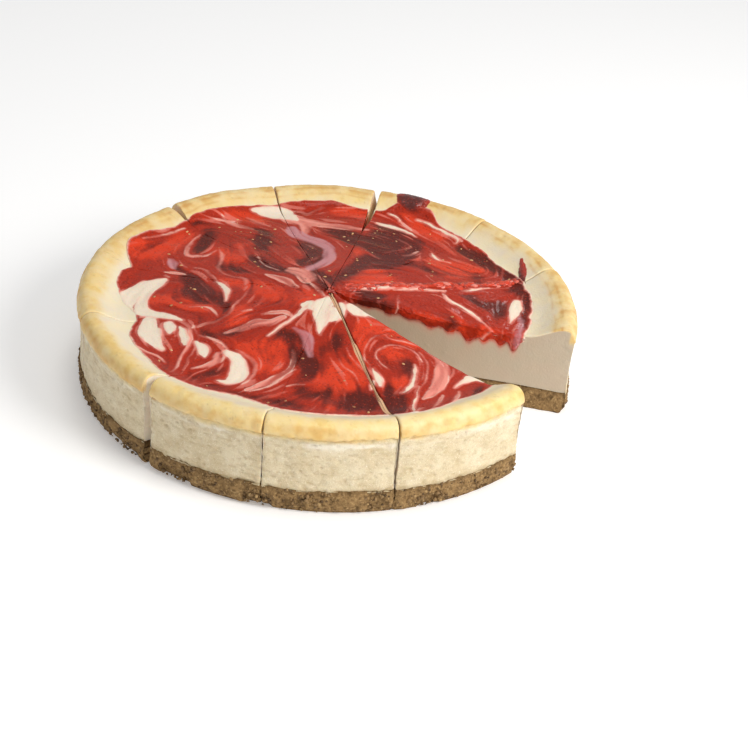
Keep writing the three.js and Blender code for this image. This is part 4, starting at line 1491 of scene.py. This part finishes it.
def swirl_material(colours, glaze, mottle):
    material, w, shader = new_material("fruit_swirl")
    fruit = marbled_glaze(w, glaze)
    grain = place_group(w, mottle, {"Patch Scale": 240.0, "Grain Scale": 1100.0})
    ripple = w.math("MULTIPLY", w.math("SUBTRACT", grain["Patches"], 0.5), 1.1)

    def inside(name, low, high, amount):
        """How far inside the strokes of one kind."""
        depth = w.math("ADD", w.mask(name), ripple)
        return w.math("MULTIPLY", w.ramp(depth, low, high), amount)

    fringe = w.math("ADD", w.mask("rim"), w.math("MULTIPLY", ripple, 0.6))
    filament = w.ramp(w.math("ADD", w.mask("streak"), w.math("MULTIPLY", w.mask("vein"), 0.5)), 1.1, 2.2)
    wisp = w.math("MULTIPLY", filament, w.ramp(w.mask("flow"), 10.0, 0.5, 0.0, 0.44))
    colour = w.mix(wisp, fruit["Color"], colours.pink)
    grainy = w.ramp(w.mask("streak"), -1.6, 1.0, 0.6, 1.0)
    threads = w.math("ADD", w.mask("vein"), w.math("MULTIPLY", w.mask("streak"), 0.4))
    fade = w.ramp(threads, -1.7, 0.3, 0.45, 1.0)
    veil = w.math("MULTIPLY", inside("pink", -0.75, 1.3, 0.97), w.math("MULTIPLY", grainy, fade))
    colour = w.mix(veil, colour, colours.pink)
    brim = w.math("MULTIPLY", inside("pink", 0.0, 0.5, 0.45), inside("pink", 1.1, 0.5, 1.0))
    brim = w.math("MULTIPLY", brim, w.ramp(w.mask("streak"), -0.2, 1.4))
    colour = w.mix(brim, colour, colours.milk)
    colour = w.mix(w.math("MULTIPLY", inside("lilac", -1.1, 1.0, 0.9), grainy), colour, colours.lilac)
    drawn_out = w.ramp(w.mask("streak"), -1.2, 1.0, 0.35, 1.0)
    halo = w.math("MULTIPLY", inside("cream", -1.5, 0.0, 0.75), drawn_out)
    colour = w.mix(halo, colour, colours.pink)
    cream = inside("cream", -0.25, 0.45, 1.0)
    milk = w.mix(w.math("MULTIPLY", grain["Patches"], 0.6), colours.milk, colours.ivory)
    stained = w.ramp(w.mask("streak"), -0.4, 1.6, 0.1, 0.55)
    tint = w.math("MULTIPLY", w.ramp(w.mask("cream"), 1.8, 0.2), stained)
    milk = w.mix(tint, milk, colours.pink)
    colour = w.mix(cream, colour, milk)
    reddish = w.math("SUBTRACT", 1.0, w.math("MULTIPLY", cream, 0.85))
    colour = w.mix(w.math("MULTIPLY", w.ramp(fringe, 1.5, 0.4, 0.0, 0.55), reddish), colour, colours.pink)
    colour = w.mix(w.ramp(fringe, 0.7, 0.0, 0.0, 0.85), colour, milk)
    w.put(shader["Base Color"], colour)
    w.put(shader["Roughness"], w.ramp(cream, 0.0, 1.0, 0.26, 0.42))
    shader["IOR"].default_value = 1.22
    w.put(shader["Coat Weight"], w.ramp(cream, 0.0, 1.0, 0.16, 0.05))
    shader["Coat Roughness"].default_value = 0.05
    shader["Subsurface Weight"].default_value = 0.12
    shader["Subsurface Radius"].default_value = (1.0, 0.25, 0.12)
    shader["Subsurface Scale"].default_value = 0.0012
    # Drupelets under the glaze stand up as small domes
    cells = w.add("ShaderNodeTexVoronoi", {"Scale": 430.0, "Vector": w.place()})
    domes = w.ramp(cells.outputs["Distance"], 0.42, 0.05)
    domes = w.math("MULTIPLY", domes, w.ramp(w.noise(70.0), 0.5, 0.62))
    domes = w.math("MULTIPLY", domes, w.ramp(cream, 0.0, 1.0, 1.0, 0.0))
    roughen(w, shader, 0.7, 0.0006, w.math("ADD", fruit["Height"], domes))
    return material


def filling_material(colours, glaze, mottle):
    material, w, shader = new_material("baked_filling")
    grain = place_group(w, mottle, {"Patch Scale": 110.0, "Grain Scale": 950.0})
    wall, face = w.mask("wall"), w.mask("face")
    colour = w.mix(w.ramp(grain["Patches"], 0.35, 0.7), colours.cream, colours.ivory)
    sides = w.mix(w.ramp(grain["Patches"], 0.3, 0.7), colours.side, colours.side_tan)
    colour = w.mix(wall, colour, sides)
    # The bare faces of the gap take the cut colour, which is partly painted shade
    colour = w.mix(face, colour, colours.cut)
    salt, pepper = w.noise(1700.0, 3.0, 0.7), w.noise(1400.0, 4.0, 0.75)
    colour = w.mix(w.math("MULTIPLY", w.ramp(salt, 0.54, 0.70, 0.0, 0.8), wall), colour, colours.white)
    colour = w.mix(w.math("MULTIPLY", w.ramp(pepper, 0.46, 0.33, 0.0, 0.5), wall), colour, colours.speckle_and_pore_shade)
    # Darker towards the foot of the wall
    colour = w.mix(w.math("MULTIPLY", w.mask("low_darkening"), 0.55), colour, colours.speckle_and_pore_shade)
    # White band under the lip, and painted light on the faces of the closed cuts at the front
    colour = w.mix(w.mask("pale"), colour, colours.white)
    blotch = w.math("ADD", w.noise(170.0, 4.0, 0.6), w.math("MULTIPLY", salt, 0.2))
    baked = w.math("MULTIPLY", w.math("ADD", grain["Patches"], blotch), 0.5)
    gold = w.math("MULTIPLY", w.mask("gold"), w.ramp(baked, 0.42, 0.64, 1.0, 0.78))
    colour = w.mix(gold, colour, colours.gold)
    toast = w.math("MULTIPLY", w.ramp(blotch, 0.60, 0.46, 0.0, 0.17), w.mask("gold"))
    colour = w.mix(toast, colour, colours.brown_and_shade)
    # Browned marks, the pocket and the faces at the back; the brown laid over the gold at the back and on the
    # left is painted shade
    colour = w.mix(w.math("MULTIPLY", w.mask("brown_and_shade"), 0.8), colour, colours.brown_and_shade)
    # Painted shade in the pores and pricks
    colour = w.mix(w.math("MULTIPLY", w.mask("hollow_shade"), 0.55), colour, colours.speckle_and_pore_shade)
    # Painted shade in the cracks and just under the lip
    colour = w.mix(w.math("MULTIPLY", w.mask("crack_and_shade"), 0.7), colour, colours.brown_and_shade)
    colour = w.mix(w.math("MULTIPLY", w.mask("blush"), 0.5), colour, colours.pink)
    fruit = marbled_glaze(w, glaze)
    wet = w.math("ADD", w.mask("smear"), w.math("MULTIPLY", w.math("SUBTRACT", grain["Patches"], 0.5), 1.6))
    thin = w.math("MULTIPLY", w.ramp(wet, -2.4, 0.6), w.math("MULTIPLY", face, 0.8))
    wet = w.math("MAXIMUM", w.ramp(wet, -0.25, 0.35), thin)
    colour = w.mix(wet, colour, fruit["Color"])
    w.put(shader["Base Color"], colour)
    w.put(shader["Roughness"], w.ramp(wet, 0.0, 1.0, 0.52, 0.22))
    w.put(shader["Coat Weight"], w.ramp(wet, 0.0, 1.0, 0.0, 0.5))
    shader["Coat Roughness"].default_value = 0.10
    shader["IOR"].default_value = 1.42
    shader["Subsurface Weight"].default_value = 0.18
    shader["Subsurface Radius"].default_value = (1.0, 0.6, 0.35)
    shader["Subsurface Scale"].default_value = 0.002
    grit = w.math("MULTIPLY", w.math("ADD", salt, pepper), w.math("MULTIPLY", wall, 1.6))
    roughen(w, shader, 0.45, 0.0005, w.math("ADD", grain["Grain"], grit))
    return material


def base_material(colours, mottle):
    material, w, shader = new_material("crumb_base")
    grain = place_group(w, mottle, {"Patch Scale": 750.0, "Grain Scale": 1600.0})
    colour = w.mix(w.ramp(w.mask("tone"), 0.05, 0.6), colours.crumb_dark, colours.crumb)
    colour = w.mix(w.ramp(grain["Patches"], 0.52, 0.7), colour, colours.crumb_light)
    colour = w.mix(w.ramp(grain["Patches"], 0.46, 0.34, 0.0, 0.7), colour, colours.crumb_dark)
    # Painted shade in the low spots of the crumb
    colour = w.mix(w.ramp(w.mask("hollow_shade"), 0.15, 0.9, 0.0, 0.5), colour, colours.crumb_dark)
    # Darker towards the top of the base
    colour = w.mix(w.math("MULTIPLY", w.mask("top_darkening"), 0.45), colour, colours.crumb_dark)
    w.put(shader["Base Color"], colour)
    shader["Roughness"].default_value = 0.85
    shader["IOR"].default_value = 1.3
    height = w.math("ADD", grain["Grain"], w.math("MULTIPLY", grain["Patches"], 1.5))
    roughen(w, shader, 0.6, 0.0006, height)
    return material


def crumb_material(colours, mottle):
    material, w, shader = new_material("loose_crumb")
    grain = place_group(w, mottle, {"Patch Scale": 400.0, "Grain Scale": 1500.0})
    colour = w.mix(w.ramp(w.mask("tone"), 0.05, 0.6), colours.crumb_dark, colours.crumb)
    colour = w.mix(w.ramp(w.mask("tone"), 0.75, 1.0, 0.0, 0.9), colour, colours.crumb_light)
    colour = w.mix(w.ramp(grain["Patches"], 0.4, 0.65, 0.0, 0.4), colour, colours.crumb_dark)
    w.put(shader["Base Color"], colour)
    shader["Roughness"].default_value = 0.8
    roughen(w, shader, 0.5, 0.0005, grain["Grain"])
    return material


def bead_material(colours, glaze):
    material, w, shader = new_material("jelly_beads")
    tone = w.mask("tone")
    dark, bright = w.ramp(tone, 0.25, 0.05, 0.0, 0.5), w.ramp(tone, 0.1, 0.6)
    fruit = place_group(w, glaze, {"Dark": dark, "Bright": bright})
    colour = w.mix(w.ramp(tone, 0.88, 0.94, 0.0, 0.7), fruit["Color"], colours.pink)
    w.put(shader["Base Color"], colour)
    shader["Roughness"].default_value = 0.14
    shader["IOR"].default_value = 1.45
    shader["Coat Weight"].default_value = 0.6
    shader["Coat Roughness"].default_value = 0.05
    shader["Subsurface Weight"].default_value = 0.15
    shader["Subsurface Radius"].default_value = (1.0, 0.2, 0.1)
    shader["Subsurface Scale"].default_value = 0.001
    return material


def seed_material(colours):
    material, w, shader = new_material("fruit_seed")
    colour = w.mix(w.ramp(w.mask("tone"), 0.1, 0.9), colours.seed, colours.seed_dark)
    w.put(shader["Base Color"], colour)
    shader["Roughness"].default_value = 0.3
    shader["Coat Weight"].default_value = 0.3
    shader["Coat Roughness"].default_value = 0.1
    return material


# Settings


def colour_property(name, description, colour):
    return bpy.props.FloatVectorProperty(
        name=name, description=description, subtype="COLOR", size=4, min=0.0, max=1.0, default=linear(colour))


def strength_property(name, description, default):
    return bpy.props.FloatProperty(name=name, description=description, default=default, min=0.0)


class CHEESECAKE_colours(bpy.types.PropertyGroup):
    """Colours of the baked filling, the fruit and the crumb."""

    cream: colour_property("Cream", "Baked filling on top", (241, 226, 190))
    ivory: colour_property("Ivory", "Lighter and greyer patches of the filling", (235, 222, 196))
    side: colour_property("Side", "Outer wall of the filling", (229, 214, 181))
    side_tan: colour_property("Side Tan", "Darker patches of the outer wall", (215, 196, 158))
    # The wall's darker speckle and its darker foot, and painted shade in the pores
    speckle_and_pore_shade: colour_property("Pore", "Bottom of the pores", (184, 158, 114))
    # Partly painted shade: greyer and darker than the filling, standing in for the shade on the bare faces of
    # the gap
    cut: colour_property("Cut Face", "Filling where the knife went", (194, 181, 157))
    milk: colour_property("Swirl Cream", "Cream that shows in the fruit", (244, 226, 206))
    # The pale band under the lip, and painted light on the faces of the closed cuts at the front
    white: colour_property("White Band", "Pale band under the lip", (248, 240, 222))
    gold: colour_property("Gold", "Baked lip", (241, 211, 133))
    # Browned marks on the lip, and painted shade in its cracks and over the gold at the back and on the left
    brown_and_shade: colour_property("Brown", "Browned marks on the lip", (206, 148, 72))
    red: colour_property("Red", "Fruit glaze", (172, 42, 18))
    bright: colour_property("Bright Red", "Thin fruit glaze over cream", (219, 62, 29))
    dark: colour_property("Dark Red", "Thick fruit glaze", (92, 24, 13))
    pink: colour_property("Pink", "Fruit mixed with cream", (241, 152, 136))
    lilac: colour_property("Lilac", "Cooler mix of fruit and cream", (206, 142, 146))
    crumb: colour_property("Crumb", "Biscuit base", (150, 119, 78))
    crumb_dark: colour_property("Dark Crumb", "Darker biscuit", (94, 71, 43))
    crumb_light: colour_property("Light Crumb", "Paler biscuit", (180, 148, 100))
    seed: colour_property("Seed", "Fruit seeds", (222, 170, 112))
    seed_dark: colour_property("Dark Seed", "Seeds that lie deeper", (170, 110, 64))


class CHEESECAKE_stage(bpy.types.PropertyGroup):
    """Camera, lights and floor."""

    azimuth: bpy.props.FloatProperty(
        name="Azimuth", description="Camera's turn round the cake", subtype="ANGLE",
        default=math.radians(24.65))
    elevation: bpy.props.FloatProperty(
        name="Elevation", description="Camera's height above the floor", subtype="ANGLE",
        default=math.radians(31.423))
    roll: bpy.props.FloatProperty(
        name="Roll", description="Camera's tilt", subtype="ANGLE", default=-0.0807)
    distance: bpy.props.FloatProperty(
        name="Distance", description="From the camera to its target", unit="LENGTH", default=0.95001)
    lens: bpy.props.FloatProperty(name="Lens", description="Focal length in mm", default=88.80)
    target: bpy.props.FloatVectorProperty(
        name="Target", description="Where the camera looks", subtype="TRANSLATION", size=3,
        default=(0.025701, 0.010830, 0.001198))
    key: strength_property("Key", "Power of the main light", 7.5)
    fill: strength_property("Fill", "Power of the fill light", 0.35)
    back: strength_property("Back", "Power of the light behind", 2.2)
    glint: strength_property("Glint", "Power of the small light", 0.06)
    sky: strength_property("Sky", "Strength of the surroundings", 0.42)
    glow: strength_property("Floor Glow", "How bright the floor is by itself", 0.22)
    floor: colour_property("Floor", "Floor under the cake", (250, 250, 250))


def shared(kind, context):
    """The materials and node groups, each made once."""
    colours = context.scene.cheesecake_colours
    trees = bpy.data.node_groups
    glaze = trees.get("Fruit Glaze") or glaze_group(colours)
    mottle = trees.get("Baked Mottle") or mottle_group()
    makers = {
        "fruit_swirl": lambda: swirl_material(colours, glaze, mottle),
        "baked_filling": lambda: filling_material(colours, glaze, mottle),
        "crumb_base": lambda: base_material(colours, mottle),
        "loose_crumb": lambda: crumb_material(colours, mottle),
        "jelly_beads": lambda: bead_material(colours, glaze),
        "fruit_seed": lambda: seed_material(colours),
    }
    return bpy.data.materials.get(kind) or makers[kind]()


def fit_out(obj, node=None):
    """Ties a piece to the cake's body and, where there is one, hides the solid that it replaces."""
    if obj is None or not len(obj.data.polygons):
        raise RuntimeError("a piece of the cake has no faces")
    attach(obj, "root")
    if node:
        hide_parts(node)


class CHEESECAKE_OT_fillings(bpy.types.Operator):
    """Build the baked filling of every slice"""

    bl_idname = "cheesecake.fillings"
    bl_label = "Fillings"

    def execute(self, context):
        material = shared("baked_filling", context)
        for index in SLICES:
            fit_out(make_filling(Slice(index), material), f"slice_{index + 1:02d}_filling")
        return {"FINISHED"}


class CHEESECAKE_OT_swirls(bpy.types.Operator):
    """Build the fruit swirl on every slice"""

    bl_idname = "cheesecake.swirls"
    bl_label = "Swirls"

    def execute(self, context):
        material = shared("fruit_swirl", context)
        for index in SLICES:
            fit_out(make_swirl(Slice(index, fruit=True), material), f"slice_{index + 1:02d}_swirl")
        return {"FINISHED"}


class CHEESECAKE_OT_bases(bpy.types.Operator):
    """Build the crumb base of every slice"""

    bl_idname = "cheesecake.bases"
    bl_label = "Bases"

    def execute(self, context):
        material = shared("crumb_base", context)
        for index in SLICES:
            fit_out(make_base(Slice(index), material), f"slice_{index + 1:02d}_base")
        return {"FINISHED"}


class CHEESECAKE_OT_crumbs(bpy.types.Operator):
    """Scatter the crumbs that stand out of the base"""

    bl_idname = "cheesecake.crumbs"
    bl_label = "Crumbs"

    def execute(self, context):
        fit_out(make_crumbs(shared("loose_crumb", context)))
        return {"FINISHED"}


class CHEESECAKE_OT_seeds(bpy.types.Operator):
    """Scatter the fruit seeds over the swirl"""

    bl_idname = "cheesecake.seeds"
    bl_label = "Seeds"

    def execute(self, context):
        fit_out(make_seeds(shared("fruit_seed", context)))
        return {"FINISHED"}


class CHEESECAKE_OT_beads(bpy.types.Operator):
    """Set the beads of jelly along one cut and at the middle"""

    bl_idname = "cheesecake.beads"
    bl_label = "Jelly Beads"

    def execute(self, context):
        fit_out(make_beads(shared("jelly_beads", context)))
        return {"FINISHED"}


def soft_light(name, where, target, size, power, colour):
    light = bpy.data.lights.new(name, "AREA")
    light.shape = "DISK"
    light.size = size
    light.energy = power
    light.color = colour
    obj = bpy.data.objects.new(name, light)
    obj.location = where
    obj.rotation_euler = (Vector(target) - Vector(where)).to_track_quat("-Z", "Y").to_euler()
    bpy.context.scene.collection.objects.link(obj)


# Where each light stands: its turn from the camera's side, height and reach, then its size and colour
LIGHTS = {
    "key": (58, 0.62, 0.80, 0.5, (1.0, 0.98, 0.95)),
    "glint": (165, 0.50, 0.87, 0.05, (1.0, 1.0, 1.0)),
    "fill": (-60, 0.60, 0.90, 0.9, (0.97, 0.98, 1.0)),
    "back": (165, 1.20, 0.14, 0.45, (1.0, 1.0, 1.0)),
}
LIT_SPOT = (0.0, 0.0, 0.03)


class CHEESECAKE_OT_stage(bpy.types.Operator):
    """Set the camera, the lights and the floor"""

    bl_idname = "cheesecake.stage"
    bl_label = "Stage"

    def execute(self, context):
        s = context.scene.cheesecake_stage
        a, e = s.azimuth, s.elevation
        back = Vector((math.sin(a) * math.cos(e), -math.cos(a) * math.cos(e), math.sin(e)))
        right = Vector((math.cos(a), math.sin(a), 0.0))
        up = back.cross(right)
        c, k = math.cos(s.roll), math.sin(s.roll)
        axes = Matrix((c * right - k * up, k * right + c * up, back)).transposed()
        camera = bpy.data.cameras.new("camera")
        camera.lens = s.lens
        camera.sensor_width = 36.0
        camera.clip_start = 0.01
        viewer = bpy.data.objects.new("camera", camera)
        viewer.matrix_world = Matrix.Translation(Vector(s.target) + back * s.distance) @ axes.to_4x4()
        context.scene.collection.objects.link(viewer)
        context.scene.camera = viewer

        bpy.ops.mesh.primitive_plane_add(size=8.0, location=(0, 0, -0.0002))
        floor = context.object
        floor.name = "floor"
        material, _, shader = new_material("floor")
        shader["Base Color"].default_value = s.floor
        shader["Roughness"].default_value = 0.9
        shader["Emission Color"].default_value = s.floor
        shader["Emission Strength"].default_value = s.glow
        floor.data.materials.append(material)

        powers = {"key": s.key, "glint": s.glint, "fill": s.fill, "back": s.back}
        for name, (turn, height, reach, size, colour) in LIGHTS.items():
            angle = a + math.radians(turn)
            where = (reach * math.sin(angle), -reach * math.cos(angle), height)
            soft_light(name, where, LIT_SPOT, size, powers[name], colour)
        world = bpy.data.worlds.new("sky")
        world.use_nodes = True
        background = world.node_tree.nodes["Background"].inputs
        background["Color"].default_value = (1.0, 1.0, 1.0, 1.0)
        background["Strength"].default_value = s.sky
        context.scene.world = world
        context.scene.view_settings.view_transform = "Standard"
        return {"FINISHED"}


OPERATORS = (
    CHEESECAKE_OT_fillings,
    CHEESECAKE_OT_swirls,
    CHEESECAKE_OT_bases,
    CHEESECAKE_OT_crumbs,
    CHEESECAKE_OT_seeds,
    CHEESECAKE_OT_beads,
    CHEESECAKE_OT_stage,
)


class CHEESECAKE_PT_panel(bpy.types.Panel):
    """Lists the cake's pieces and settings"""

    bl_idname = "CHEESECAKE_PT_panel"
    bl_label = "Cheesecake"
    bl_space_type = "VIEW_3D"
    bl_region_type = "UI"
    bl_category = "Cheesecake"

    def draw(self, context):
        layout = self.layout
        for operator in OPERATORS:
            layout.operator(operator.bl_idname)
        for settings in (context.scene.cheesecake_colours, context.scene.cheesecake_stage):
            box = layout.box()
            for key in settings.__annotations__:
                box.prop(settings, key)


CLASSES = (CHEESECAKE_colours, CHEESECAKE_stage, *OPERATORS, CHEESECAKE_PT_panel)


def register():
    for item in CLASSES:
        bpy.utils.register_class(item)
    bpy.types.Scene.cheesecake_colours = bpy.props.PointerProperty(type=CHEESECAKE_colours)
    bpy.types.Scene.cheesecake_stage = bpy.props.PointerProperty(type=CHEESECAKE_stage)


def unregister():
    del bpy.types.Scene.cheesecake_stage
    del bpy.types.Scene.cheesecake_colours
    for item in reversed(CLASSES):
        bpy.utils.unregister_class(item)


def main():
    register()
    bpy.ops.cheesecake.fillings()
    bpy.ops.cheesecake.swirls()
    bpy.ops.cheesecake.bases()
    bpy.ops.cheesecake.crumbs()
    bpy.ops.cheesecake.seeds()
    bpy.ops.cheesecake.beads()
    bpy.ops.cheesecake.stage()


if __name__ == "__main__":
    main()
